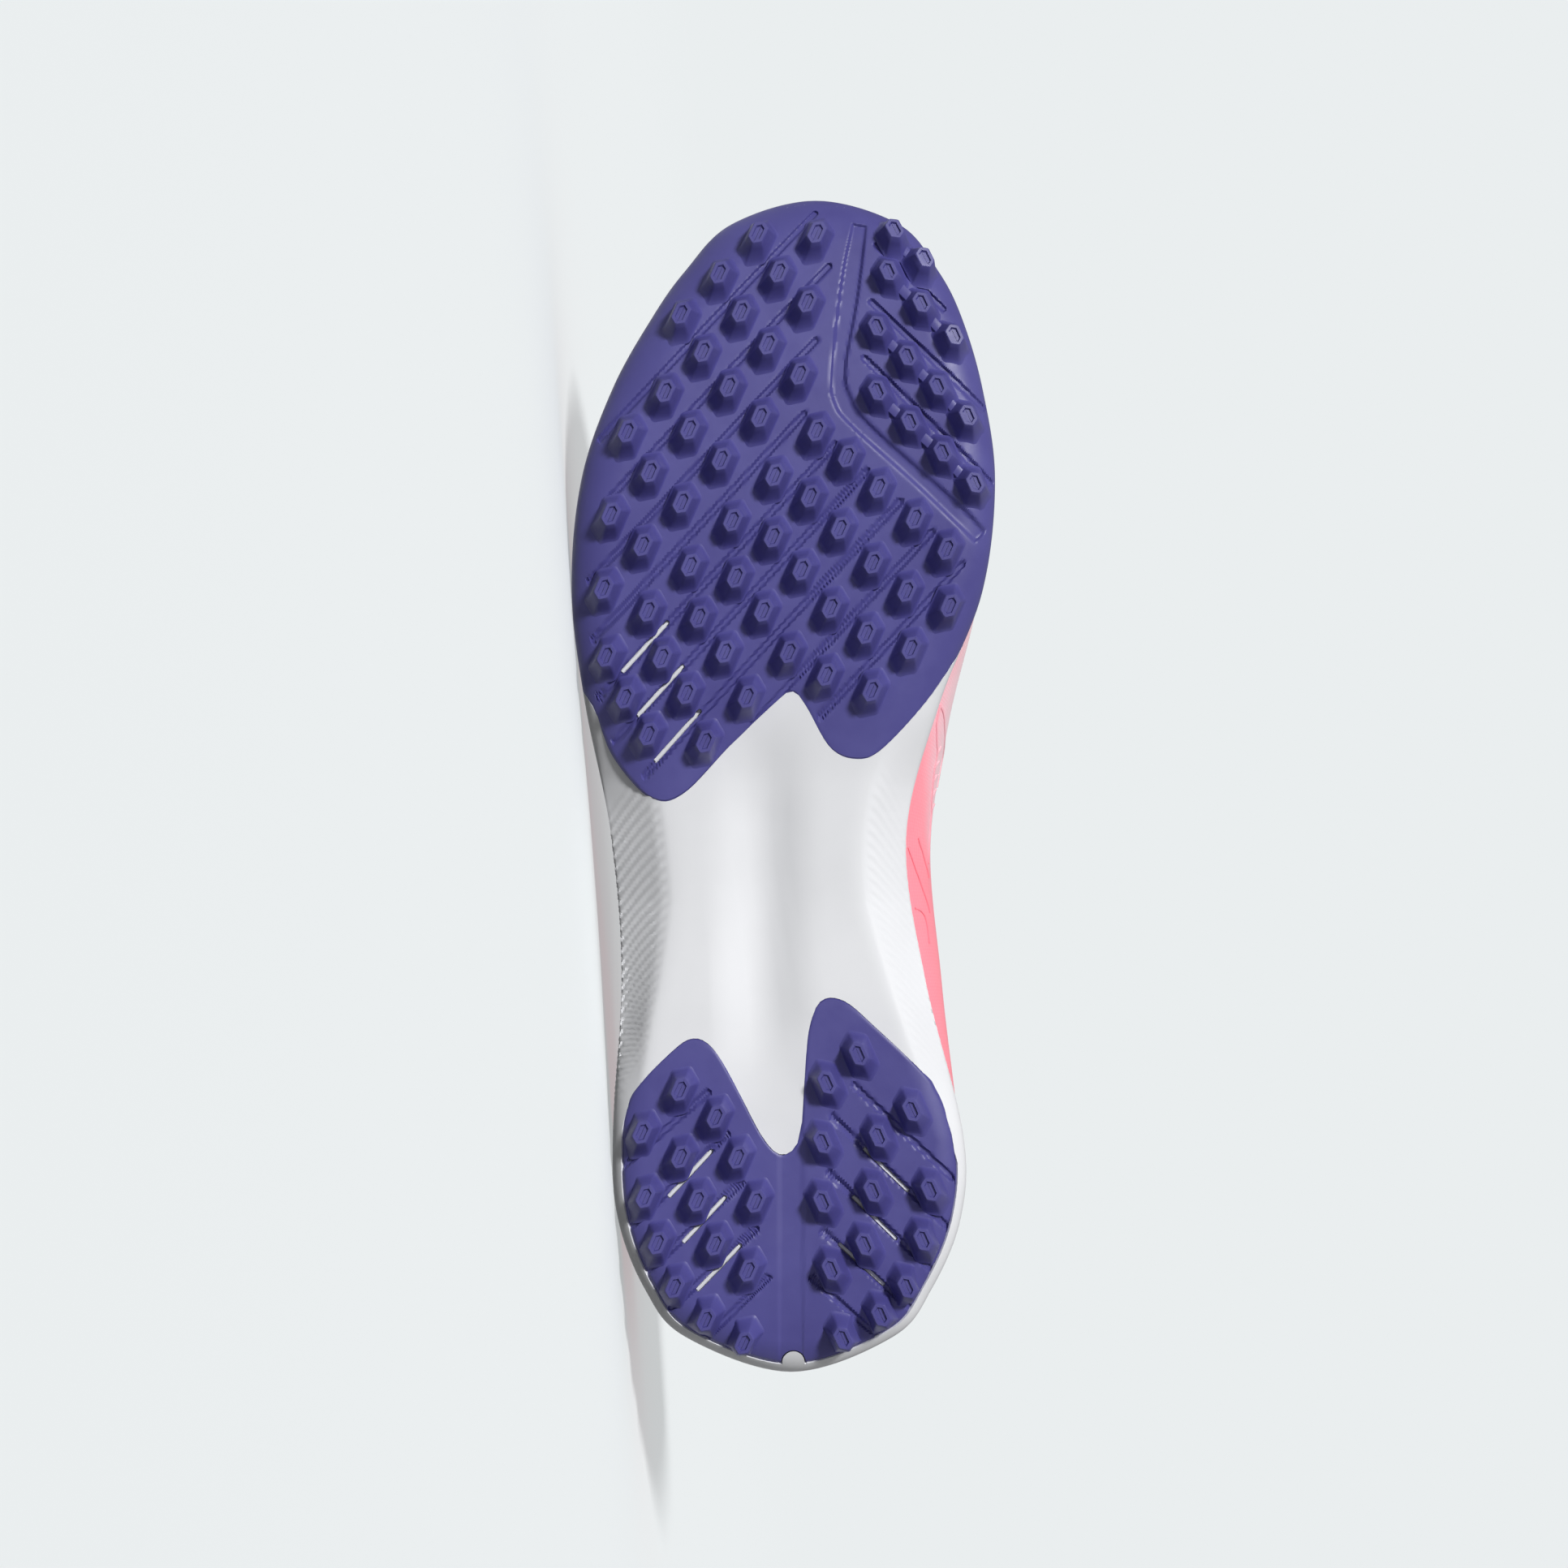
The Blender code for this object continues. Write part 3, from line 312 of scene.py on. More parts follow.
def weld(piece, distance=0.00001):
    startEdit(piece)
    bpy.ops.mesh.remove_doubles(threshold=distance)
    bpy.ops.mesh.dissolve_degenerate(threshold=distance)
    bpy.ops.mesh.normals_make_consistent(inside=False)
    endEdit()
    return piece


def turnFaces(piece, up):
    # Open skins look up where up is 1 and down where it is -1
    if sum(face.normal.z * face.area for face in piece.data.polygons) * up < 0:
        startEdit(piece)
        bpy.ops.mesh.flip_normals()
        endEdit()


def smooth(piece, degrees):
    makeActive(piece)
    bpy.ops.object.shade_smooth_by_angle(angle=math.radians(degrees))


def applyModifier(piece, kind, **settings):
    makeActive(piece)
    modifier = piece.modifiers.new(kind.lower(), kind)
    for name, value in settings.items():
        setattr(modifier, name, value)
    bpy.ops.object.modifier_apply(modifier=modifier.name)


def cut(piece, cutter):
    applyModifier(piece, "BOOLEAN", operation="DIFFERENCE", solver="MANIFOLD", object=cutter)
    bpy.data.objects.remove(cutter)


def joinAll(name, pieces):
    deselectAll()
    for piece in pieces:
        piece.select_set(True)
    bpy.context.view_layer.objects.active = pieces[0]
    bpy.ops.object.join()
    pieces[0].name = name
    return pieces[0]


def turnTo(*axes):
    return Matrix(axes).transposed().to_4x4()


def store(piece, name, values):
    # A number or vector on each vertex, for the patterns in the materials
    kind, key = ("FLOAT", "value") if values.ndim == 1 else ("FLOAT_VECTOR", "vector")
    attribute = piece.data.attributes.new(name, kind, "POINT")
    attribute.data.foreach_set(key, np.ascontiguousarray(values, np.float32).ravel())


def layDown(piece, materials, slot, *nodes):
    # A finished piece goes into the row's frame, and stands for its node
    store(piece, "shoePlace", coordinates(piece))
    piece.data.transform(lyingPose)
    piece.data.materials.clear()
    for material in materials:
        piece.data.materials.append(material)
    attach(piece, "root")
    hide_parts(*nodes)
    print(f"{piece.name}: {len(piece.data.polygons)} faces")


# Materials

def srgb(red, green, blue):
    def linear(value):
        value /= 255.0
        return value / 12.92 if value <= 0.04045 else ((value + 0.055) / 1.055) ** 2.4
    return (linear(red), linear(green), linear(blue), 1.0)


def feed(tree, node, inputs):
    # Each input gets a plain value or another node's output
    for name, value in inputs.items():
        if isinstance(value, bpy.types.NodeSocket):
            tree.links.new(value, node.inputs[name])
        else:
            node.inputs[name].default_value = value


def addNode(tree, kind, output, inputs, **settings):
    node = tree.nodes.new("ShaderNode" + kind)
    for name, value in settings.items():
        setattr(node, name, value)
    feed(tree, node, inputs)
    return node.outputs[output]


def newMaterial(name):
    material = bpy.data.materials.new(name)
    material.use_nodes = True
    return material, material.node_tree, material.node_tree.nodes["Principled BSDF"]


def stored(tree, name, output="Vector"):
    return addNode(tree, "Attribute", output, {}, attribute_name=name)


def noise(tree, scale, detail):
    return addNode(tree, "TexNoise", "Fac", {"Vector": stored(tree, "shoePlace"), "Scale": scale, "Detail": detail})


def ramp(tree, value, *stops):
    node = tree.nodes.new("ShaderNodeValToRGB")
    band = node.color_ramp
    while len(band.elements) < len(stops):
        band.elements.new(0.5)
    for element, (position, colour) in zip(band.elements, stops):
        element.position = position
        element.color = srgb(*colour)
    feed(tree, node, {"Fac": value})
    return node.outputs["Color"]


def bump(tree, height, strength, distance, **under):
    return addNode(tree, "Bump", "Normal", {"Height": height, "Strength": strength, "Distance": distance, **under})


def rangeOf(tree, value, *limits):
    # From low and high to a new low and high
    ends = dict(zip(("From Min", "From Max", "To Min", "To Max"), limits))
    return addNode(tree, "MapRange", "Result", {"Value": value, **ends})


def threads(tree, place, direction, period):
    inputs = {"Vector": place, "Scale": 2 * math.pi / (20.0 * period)}
    return addNode(tree, "TexWave", "Fac", inputs, bands_direction=direction, wave_profile="SIN")


def combine(tree, operation, first, second):
    return addNode(tree, "Math", "Value", {0: first, 1: second}, operation=operation)


def blendColour(tree, share, first, second):
    return addNode(tree, "Mix", 2, {0: share, 6: first, 7: srgb(*second)}, data_type="RGBA")


def rubberMaterial():
    material, tree, shader = newMaterial("mouldedRubber")
    grain, haze = noise(tree, 2600.0, 2.0), noise(tree, 240.0, 3.0)
    feed(tree, shader, {
        "Base Color": ramp(tree, noise(tree, 60.0, 4.0), (0.30, (74, 70, 137)), (0.72, (82, 79, 147))),
        "Roughness": rangeOf(tree, haze, 0.3, 0.7, 0.40, 0.52),
        "Specular IOR Level": 0.45,
        "Normal": bump(tree, grain, 0.12, 0.0001, Normal=bump(tree, haze, 0.10, 0.0004)),
    })
    return material


def foamMaterial():
    material, tree, shader = newMaterial("mouldedFoam")
    grain = noise(tree, 3200.0, 2.0)
    feed(tree, shader, {
        "Base Color": ramp(tree, noise(tree, 35.0, 3.0), (0.30, (229, 230, 233)), (0.75, (235, 236, 239))),
        "Roughness": rangeOf(tree, grain, 0.3, 0.7, 0.48, 0.60),
        "Specular IOR Level": 0.40,
        "Normal": bump(tree, grain, 0.08, 0.00008),
    })
    return material


def knitMaterial():
    material, tree, shader = newMaterial("upperKnit")
    source = stored(tree, "knitPlace")
    uneven = rangeOf(tree, noise(tree, 40.0, 4.0), 0.3, 0.7, -0.12, 0.12)
    colour = ramp(
        tree, combine(tree, "ADD", stored(tree, "blush", "Fac"), uneven),
        (0.00, (254, 150, 163)), (0.30, (254, 162, 174)), (0.62, (247, 198, 208)), (1.00, (238, 220, 226)),
    )
    courses = rangeOf(tree, threads(tree, source, "X", 0.00085), 0.0, 1.0, 0.45, 1.0)
    stitch = combine(tree, "MULTIPLY", threads(tree, source, "Y", 0.00058), courses)
    streaks = rangeOf(tree, noise(tree, 160.0, 2.0), 0.35, 0.65, 0.0, 0.10)
    # painted shade: a deeper coral in the gaps between the stitches, where the stitch relief is low
    colour = blendColour(tree, rangeOf(tree, stitch, 0.0, 0.8, 0.28, 0.0), colour, (244, 104, 124))
    colour = blendColour(tree, streaks, colour, (240, 118, 136))
    feed(tree, shader, {
        "Base Color": colour,
        "Emission Color": colour,  # painted glow: a small emission lifts the coral above what the lamps give it
        "Emission Strength": 0.10,
        "Roughness": 0.72,
        "Specular IOR Level": 0.25,
        "Sheen Weight": 0.20,
        "Normal": bump(tree, stitch, 0.55, 0.00012),
    })
    return material


def embossedMaterial():
    material, tree, shader = newMaterial("embossedPink")
    relief = bump(tree, noise(tree, 900.0, 2.0), 0.2, 0.0001)
    feed(tree, shader, {"Base Color": srgb(208, 92, 118), "Roughness": 0.6, "Normal": relief})
    return material


def fabricMaterial(name, low, high, paintedGapShade, thread, roughness, depth, place="shoePlace"):
    # Cloth of two thread directions, its colour a little uneven, with painted shade darkening the gaps between threads
    material, tree, shader = newMaterial(name)
    source = stored(tree, place)
    stitch = combine(tree, "MULTIPLY", threads(tree, source, "X", thread), threads(tree, source, "Y", thread))
    colour = ramp(tree, noise(tree, 55.0, 4.0), (0.3, low), (0.7, high))
    feed(tree, shader, {
        "Base Color": blendColour(tree, rangeOf(tree, stitch, 0.0, 1.0, 0.35, 0.0), colour, paintedGapShade),
        "Roughness": roughness,
        "Specular IOR Level": 0.25,
        "Sheen Weight": 0.25,
        "Normal": bump(tree, stitch, 0.5, depth),
    })
    return material


rubber, foam, knit, embossed = rubberMaterial(), foamMaterial(), knitMaterial(), embossedMaterial()
# the third colour of each row is painted shade for the gaps between threads
lining, tongueKnit, insoleFabric, laceFabric = (fabricMaterial(*row) for row in (
    ("collarLining", (222, 204, 210), (230, 213, 219), (190, 160, 170), 0.0010, 0.85, 0.0001, "knitPlace"),
    ("tongueKnit", (240, 196, 206), (246, 208, 216), (222, 150, 166), 0.0012, 0.85, 0.00015),
    ("insoleFabric", (92, 88, 140), (100, 96, 150), (66, 62, 108), 0.0009, 0.9, 0.0001),
    ("laceFabric", (236, 226, 230), (242, 233, 237), (205, 185, 193), 0.0008, 0.8, 0.0002),
))

# Rubber plates

plate = {
    "thickness": 0.0020,
    "wrap": 0.0045,
    "wrapEnd": 0.12,
    "wrapTaper": (0.002, 0.020),
    "backFaces": 0.15,
    "margin": 0.0025,
    "edgeRound": 0.0009,
    "grooveWidth": 0.0014,
    "grooveWall": 0.0004,
    "grooveDepth": 0.0009,
    "slotWidth": 0.0011,
    "channelDepth": 0.0010,
    "channelWall": 0.0009,
    "stripDepth": 0.0003,
    "stripSides": (-0.0016, -0.0006, 0.0044, 0.0049),
    "notchRadius": 0.0030,
    "notchY": 0.0023,
    "cutDepth": 0.012,
}

# The edges that cross the sole, lateral to medial, as shares of length and width
forefootEdge = [
    (0.610, -0.560), (0.570, -0.460), (0.522, -0.400), (0.487, -0.310), (0.491, -0.234),
    (0.532, -0.123), (0.570, -0.012), (0.577, 0.020), (0.566, 0.048), (0.530, 0.106),
    (0.520, 0.170), (0.529, 0.232), (0.573, 0.344), (0.640, 0.470), (0.670, 0.560),
]
heelEdge = [
    (0.190, -0.475), (0.208, -0.461), (0.224, -0.449), (0.243, -0.421), (0.272, -0.330),
    (0.286, -0.262), (0.278, -0.200), (0.243, -0.130),
    (0.202, -0.057), (0.188, -0.005), (0.201, 0.040), (0.243, 0.053), (0.290, 0.066),
    (0.317, 0.100), (0.318, 0.170), (0.294, 0.266), (0.256, 0.400), (0.243, 0.430),
    (0.224, 0.461), (0.199, 0.482), (0.180, 0.495),
]

# Grooves between the rows of lugs: front end, rear end, in millimetres along and across
forefootGrooves = [
    ((284.2, 7.6), (228.0, -44.8)), ((270.8, 11.0), (211.8, -44.0)), ((252.3, 7.8), (193.2, -47.3)),
    ((234.1, 4.9), (179.1, -46.4)), ((226.8, 12.6), (165.0, -45.0)), ((220.2, 20.1), (154.4, -41.3)),
    ((212.7, 28.2), (146.0, -34.0)), ((205.4, 36.0), (158.8, -7.5)), ((197.4, 43.3), (160.4, 8.8)),
    ((276.1, 22.7), (260.3, 38.9)), ((261.8, 21.4), (235.7, 48.5)), ((247.8, 19.7), (217.2, 50.4)),
]
heelGrooves = [
    ((69.0, -18.5), (51.1, -38.9)), ((58.9, -13.8), (36.5, -37.0)), ((47.2, -10.4), (25.4, -33.0)),
    ((35.9, -6.8), (16.3, -27.5)), ((24.0, -3.9), (7.1, -20.9)),
    ((70.6, 17.1), (48.2, 40.9)), ((63.2, 11.6), (36.1, 39.9)), ((49.6, 10.8), (25.4, 36.2)),
    ((35.3, 9.4), (16.3, 30.8)), ((24.0, 6.8), (7.5, 24.9)),
]

# Slots that go right through to the foam, in millimetres along and across
forefootSlots = [((171.1, -39.5), (183.7, -28.0)), ((160.4, -35.8), (173.0, -24.3)), ((149.3, -31.6), (162.1, -20.2))]
heelSlots = [
    ((43.4, -28.2), (55.1, -17.3)), ((32.3, -24.7), (43.8, -14.0)), ((20.6, -21.3), (32.1, -10.3)),
    ((55.5, 19.3), (44.8, 30.4)), ((43.8, 16.6), (33.1, 27.5)), ((32.3, 13.2), (21.9, 24.5)),
]

# The flexing channel round the big toe, its two sides in millimetres
channelLeft = [(281.5, 16.9), (267.6, 14.2), (244.4, 11.6), (236.7, 12.4), (231.1, 16.6), (216.7, 32.4), (203.0, 46.5)]
channelRight = [(280.9, 20.2), (262.4, 17.9), (245.6, 15.0), (238.5, 16.2), (231.1, 21.4), (213.1, 41.5), (205.5, 49.0)]

# Along, across, last along, last across, count, length share, which way the long axis turns
forefootLugs = [
    (0.898, -0.241, 0.968, -0.061, 3, 1.00, 1),
    (0.797, -0.365, 0.968, 0.077, 6, 1.00, 1),
    (0.727, -0.403, 0.908, 0.055, 6, 1.00, 1),
    (0.665, -0.420, 0.846, 0.037, 6, 1.00, 1),
    (0.608, -0.414, 0.798, 0.077, 6, 1.00, 1),
    (0.573, -0.370, 0.776, 0.148, 7, 1.00, 1),
    (0.542, -0.316, 0.750, 0.221, 7, 1.00, 1),
    (0.536, -0.183, 0.724, 0.306, 6, 1.00, 1),
    (0.592, 0.099, 0.698, 0.380, 4, 1.00, 1),
    (0.579, 0.205, 0.650, 0.387, 3, 1.00, 1),
    (0.972, 0.260, 0.947, 0.331, 2, 0.90, -1),
    (0.935, 0.245, 0.880, 0.399, 3, 0.90, -1),
    (0.887, 0.218, 0.811, 0.430, 4, 0.90, -1),
    (0.832, 0.218, 0.754, 0.446, 4, 0.90, -1),
]
heelLugs = [
    (0.207, -0.400, 0.243, -0.292, 2, 1.00, 1),
    (0.153, -0.391, 0.220, -0.191, 3, 1.00, 1),
    (0.114, -0.356, 0.186, -0.130, 3, 1.00, 1),
    (0.077, -0.308, 0.149, -0.079, 3, 1.00, 1),
    (0.049, -0.220, 0.091, -0.100, 2, 1.00, 1),
    (0.029, -0.113, 0.029, -0.113, 1, 1.00, 1),
    (0.273, 0.210, 0.226, 0.360, 2, 1.00, -1),
    (0.249, 0.121, 0.159, 0.412, 3, 1.00, -1),
    (0.199, 0.109, 0.117, 0.392, 3, 1.00, -1),
    (0.149, 0.109, 0.077, 0.347, 3, 1.00, -1),
    (0.092, 0.133, 0.053, 0.273, 2, 1.00, -1),
    (0.033, 0.166, 0.033, 0.166, 1, 1.00, -1),
]


def millimetres(points):
    return np.array(points, float) / 1000.0


def edgeCurve(rows, width):
    return openSpline([(along * shoe["length"], across * width) for along, across in rows], 8)


def grooveRelief(points, grooves):
    # How deep the grooves cut at each point
    deepest = np.zeros(len(points))
    for groove in grooves:
        inside = plate["grooveWidth"] / 2 - lineDistance(points, millimetres(groove))
        cut = ease(-plate["grooveWall"] / 2, plate["grooveWall"] / 2, inside) * plate["grooveDepth"]
        deepest = np.maximum(deepest, cut)
    return deepest


def channelRelief(points):
    left = openSpline(millimetres(channelLeft), 6)
    right = openSpline(millimetres(channelRight), 6)
    loop = np.vstack([left, right[::-1]])
    distance = lineDistance(points, loop, True)
    signed = np.where(insideLine(points, loop), distance, -distance)
    return ease(-plate["channelWall"] / 2, plate["channelWall"] / 2, signed) * plate["channelDepth"]


def edgeRelief(points, edge):
    # The plate's edge is rounded over
    radius = plate["edgeRound"]
    near = np.clip(lineDistance(points, edge) / radius, 0.0, 1.0)
    return radius * (1.0 - np.sqrt(1.0 - (1.0 - near) ** 2))


def rearEnds(shares, lines, edge):
    # Where each lengthwise grid line leaves the plate's edge
    order = np.argsort(edge[:, 1])
    x = np.full(len(shares), float(edge[:, 0].mean()))
    for _ in range(60):
        y = mix(sideY(x, lines[0]), sideY(x, lines[1]), shares)
        x = mix(x, np.interp(y, edge[order, 1], edge[order, 0]), 0.5)
    return x


def plateGrid(name, lines, edge, endX, rows, columns, wrapRows):
    # A fine skin that follows the outline on its sides and the plate's edge at its end
    across = np.linspace(0.0, 1.0, columns)
    shares = mix(across, 0.5 - 0.5 * np.cos(np.pi * across), 0.45)
    ends = rearEnds(shares, lines, edge)
    ahead = np.linspace(0.0, 1.0, rows)
    ahead = mix(ahead, np.sin(ahead * np.pi / 2), 0.75)
    x = ends[None, :] + (endX - ends[None, :]) * ahead[:, None]
    y = mix(sideY(x, lines[0]), sideY(x, lines[1]), shares[None, :])
    plan = np.stack([x.ravel(), y.ravel()], 1)
    distance = lineDistance(plan, outline, True)
    height = skinHeight(plan[:, 0], plan[:, 1], distance)
    grid = np.stack([x, y, height.reshape(x.shape)], 2)
    if wrapRows:
        # The rubber climbs the side of the foam, and runs out towards its rear end
        sides = []
        for border in (grid[:, 0], grid[:, -1]):
            climb = plate["wrap"] * mix(plate["wrapEnd"], 1.0, ease(*plate["wrapTaper"], border[:, 0] - border[0, 0]))
            steps = np.linspace(1.0, 0.0, wrapRows + 1)[:-1]
            sides.append(np.stack([border + np.outer(climb, [0.0, 0.0, step]) for step in steps], 1))
        grid = np.concatenate([sides[0], grid, sides[1][:, ::-1]], 1)
    return weld(addGrid(name, grid))


def thicken(piece, reliefs):
    # Solid rubber, carved on its face alone, with few faces on the side that lies on the foam
    frontCount, corners = len(piece.data.polygons), len(piece.data.vertices)
    turnFaces(piece, -1)
    applyModifier(piece, "SOLIDIFY", thickness=plate["thickness"], offset=-1.0)
    points = coordinates(piece)
    points[:corners, 2] += reliefs(points[:corners, :2])
    setCoordinates(piece, points)
    makeActive(piece)
    bpy.ops.object.mode_set(mode="EDIT")
    bpy.ops.mesh.select_mode(type="FACE")
    bpy.ops.mesh.select_all(action="DESELECT")
    endEdit()
    flags = np.zeros(len(piece.data.polygons), bool)
    flags[frontCount:2 * frontCount] = True
    piece.data.polygons.foreach_set("select", flags)
    bpy.ops.object.mode_set(mode="EDIT")
    bpy.ops.mesh.decimate(ratio=plate["backFaces"])
    endEdit()


def slotCutter(name, slots):
    # Narrow round-ended bars that pass right through the rubber
    bars = []
    for start, end in millimetres(slots):
        run = end - start
        bar = addShape("cube", size=1.0)
        startEdit(bar)
        bpy.ops.transform.resize(value=(float(np.linalg.norm(run)), plate["slotWidth"], plate["cutDepth"]))
        bpy.ops.mesh.select_all(action="DESELECT")
        endEdit()
        for edge in bar.data.edges:
            first, second = (bar.data.vertices[i].co for i in edge.vertices)
            edge.select = abs(first.z - second.z) > 0.001
        bpy.ops.object.mode_set(mode="EDIT")
        bpy.ops.mesh.bevel(offset=plate["slotWidth"] * 0.49, segments=4)
        endEdit()
        turn = Matrix.Rotation(math.atan2(run[1], run[0]), 4, "Z")
        bar.data.transform(Matrix.Translation(skinPoint(*(start + end) / 2)) @ turn)
        bars.append(bar)
    return joinAll(name, bars)


def notchCutter(radius):
    # The half-round notch at the back of the heel
    place = (plate["notchRadius"], plate["notchY"], 0.0)
    return addShape("cylinder", vertices=32, radius=radius, depth=0.05, location=place)


def insetLine(line, distance):
    out = outward(np.gradient(line, axis=0))
    sign = np.sign((out * (line - np.array([shoe["length"] / 2, 0.0]))).sum(1))[:, None]
    return line - out * sign * distance


# Lugs

lug = {
    "turn": math.radians(24),
    "lean": 0.45,
    "cornerRound": 0.0003,
    "ringWidth": 0.00066,
    "holeDepth": 0.0006,
    "holeTaper": 0.85,
    "skew": 0.0008,
    "edgeMargin": 0.0007,
    # heights over which the foot lets go of the plate's edge, and of the skin
    "edgeFade": (0.0010, 0.0045),
    "skinFade": (0.0005, 0.0035),
    "barWidth": 0.0026,
    "barHeight": 0.0014,
    "barRound": 0.0005,
    # half length, half width and height of each ring from the tip to the foot
    "rings": [
        (0.00300, 0.00172, 0.00600),
        (0.00322, 0.00194, 0.00582),
        (0.00400, 0.00245, 0.00400),
        (0.00505, 0.00298, 0.00200),
        (0.00585, 0.00333, 0.00080),
        (0.00650, 0.00358, 0.00022),
        (0.00695, 0.00382, 0.00002),
        (0.00705, 0.00390, -0.00050),
    ],
}


def modelLug():
    halfLength, halfWidth, top = lug["rings"][0]
    piece = addShape("circle", vertices=6, radius=1.0, fill_type="NGON")
    piece.name = "lugPattern"
    # Six corners, the long sides parallel
    corners = [(1, 0), (0.6, 1), (-0.6, 1), (-1, 0), (-0.6, -1), (0.6, -1)]
    setCoordinates(piece, np.array([(x * halfLength, y * halfWidth, top) for x, y in corners]))
    startEdit(piece)
    bpy.ops.mesh.bevel(offset=lug["cornerRound"], segments=2, affect="VERTICES")
    bpy.ops.mesh.select_mode(type="EDGE")
    bpy.ops.mesh.select_all(action="SELECT")
    for (length, width, height), (nextLength, nextWidth, nextHeight) in zip(lug["rings"], lug["rings"][1:]):
        bpy.ops.mesh.extrude_edges_move(TRANSFORM_OT_translate={"value": (0, 0, nextHeight - height)})
        grow = (nextLength / length, nextWidth / width, 1.0)
        bpy.ops.transform.resize(value=grow, center_override=(0, 0, nextHeight))
    bpy.ops.mesh.edge_face_add()
    bpy.ops.mesh.select_mode(type="FACE")
    bpy.ops.mesh.select_all(action="DESELECT")
    endEdit()
    for face in piece.data.polygons:
        face.select = len(face.vertices) > 4 and face.center.z > 0.004
    bpy.ops.object.mode_set(mode="EDIT")
    bpy.ops.mesh.inset(thickness=lug["ringWidth"])
    bpy.ops.mesh.extrude_region_move(TRANSFORM_OT_translate={"value": (0, 0, -lug["holeDepth"])})
    bpy.ops.transform.resize(value=(lug["holeTaper"], lug["holeTaper"], 1.0), center_override=(0, 0, 0))
    bpy.ops.mesh.select_all(action="SELECT")
    bpy.ops.mesh.normals_make_consistent(inside=False)
    endEdit()
    points = coordinates(piece)
    points[:, 0] += lug["skew"] * points[:, 2] / shoe["lugHeight"]
    setCoordinates(piece, points)
    return piece


def lugPlaces(rows, width):
    # Where each lug stands and how it is turned, partly square to the skin
    places = []
    for along, across, lastAlong, lastAcross, count, share, turn in rows:
        row = []
        for i in range(count):
            step = i / max(count - 1, 1)
            x = mix(along, lastAlong, step) * shoe["length"]
            y = mix(across, lastAcross, step) * width
            down = (skinDown(x, y) * lug["lean"] - Vector((0, 0, 1)) * (1.0 - lug["lean"])).normalized()
            ahead = Vector((math.cos(lug["turn"]), turn * math.sin(lug["turn"]), 0.0))
            ahead = (ahead - down * ahead.dot(down)).normalized()
            # The tip stands over the measured place, so the foot steps back from it
            tip = down * shoe["lugHeight"] + ahead * lug["skew"]
            turned = turnTo(ahead * share, down.cross(ahead), down)
            row.append(Matrix.Translation(skinPoint(x - tip.x, y - tip.y)) @ turned)
        places.append(row)
    return places


def seatLug(copy, pattern, place, limit):
    # The foot follows the skin and keeps off the plate's edge
    points = coordinates(copy)
    height = coordinates(pattern)[:, 2]
    centre = np.array(place.translation)[:2]
    low, high = np.zeros(len(points)), np.ones(len(points))
    high[insideLine(points[:, :2], limit)] = 0.0
    low[high == 0.0] = 1.0
    for _ in range(8):
        middle = (low + high) / 2
        within = insideLine(centre + (points[:, :2] - centre) * middle[:, None], limit)
        low = np.where((high > 0) & within, middle, low)
        high = np.where((high > 0) & ~within, middle, high)
    low = mix(low, 1.0, ease(*lug["edgeFade"], height))
    points[:, :2] = centre + (points[:, :2] - centre) * low[:, None]
    distance = lineDistance(points[:, :2], outline, True)
    skin = skinHeight(points[:, 0], points[:, 1], distance) - height
    points[:, 2] = mix(points[:, 2], skin, 1.0 - ease(*lug["skinFade"], height))
    setCoordinates(copy, points)


def plantLugs(pattern, rows, width, inset):
    limit = insetLine(outline, inset + lug["edgeMargin"])[::3]
    copies = []
    for row in lugPlaces(rows, width):
        for place in row:
            copy = pattern.copy()
            copy.data = pattern.data.copy()
            bpy.context.collection.objects.link(copy)
            copy.data.transform(place)
            seatLug(copy, pattern, place, limit)
            copies.append(copy)
    return copies


def lugBars(rows, width):
    # Low bars that join the lugs of each toe row
    bars = []
    for row in lugPlaces(rows, width):
        for place, nextPlace in zip(row, row[1:]):
            start, end = place.translation, nextPlace.translation
            bar = addShape("cube", size=1.0)
            startEdit(bar)
            bpy.ops.transform.resize(value=((end - start).length, lug["barWidth"], 2 * lug["barHeight"]))
            bpy.ops.mesh.bevel(offset=lug["barRound"], segments=2)
            endEdit()
            down = place.to_3x3().col[2].normalized()
            ahead = (end - start).normalized()
            turned = turnTo(ahead, down.cross(ahead).normalized(), down)
            bar.data.transform(Matrix.Translation((start + end) / 2) @ turned)
            bars.append(bar)
    return bars


def modelForefootPlate(pattern):
    edge = edgeCurve(forefootEdge, shoe["ballWidth"])

    def reliefs(plan):
        return grooveRelief(plan, forefootGrooves) + channelRelief(plan) + edgeRelief(plan, edge)

    piece = plateGrid("forefootRubber", (lateralLine, medialLine), edge, shoe["length"], 290, 210, 4)
    thicken(piece, reliefs)
    cut(piece, slotCutter("forefootSlots", forefootSlots))
    toeRows = [row for row in forefootLugs if row[6] < 0]
    lugs = plantLugs(pattern, forefootLugs, shoe["ballWidth"], 0.0)
    return joinAll("forefootRubber", [piece, *lugs, *lugBars(toeRows, shoe["ballWidth"])])


def modelHeelPlate(pattern):
    edge = edgeCurve(heelEdge, shoe["heelWidth"])
    lateral = insetLine(lateralLine, plate["margin"])
    medial = insetLine(medialLine, plate["margin"])
    rim = np.vstack([lateral, medial[::-1]])

    def reliefs(plan):
        strip = window(plan[:, 1], *plate["stripSides"]) * plate["stripDepth"]
        return grooveRelief(plan, heelGrooves) + strip + np.maximum(edgeRelief(plan, edge), edgeRelief(plan, rim))

    piece = plateGrid("heelRubber", (lateral, medial), edge, plate["margin"] + 0.0002, 170, 170, 0)
    thicken(piece, reliefs)
    cut(piece, slotCutter("heelSlots", heelSlots))
    cut(piece, notchCutter(plate["notchRadius"]))
    return joinAll("heelRubber", [piece, *plantLugs(pattern, heelLugs, shoe["heelWidth"], plate["margin"])])


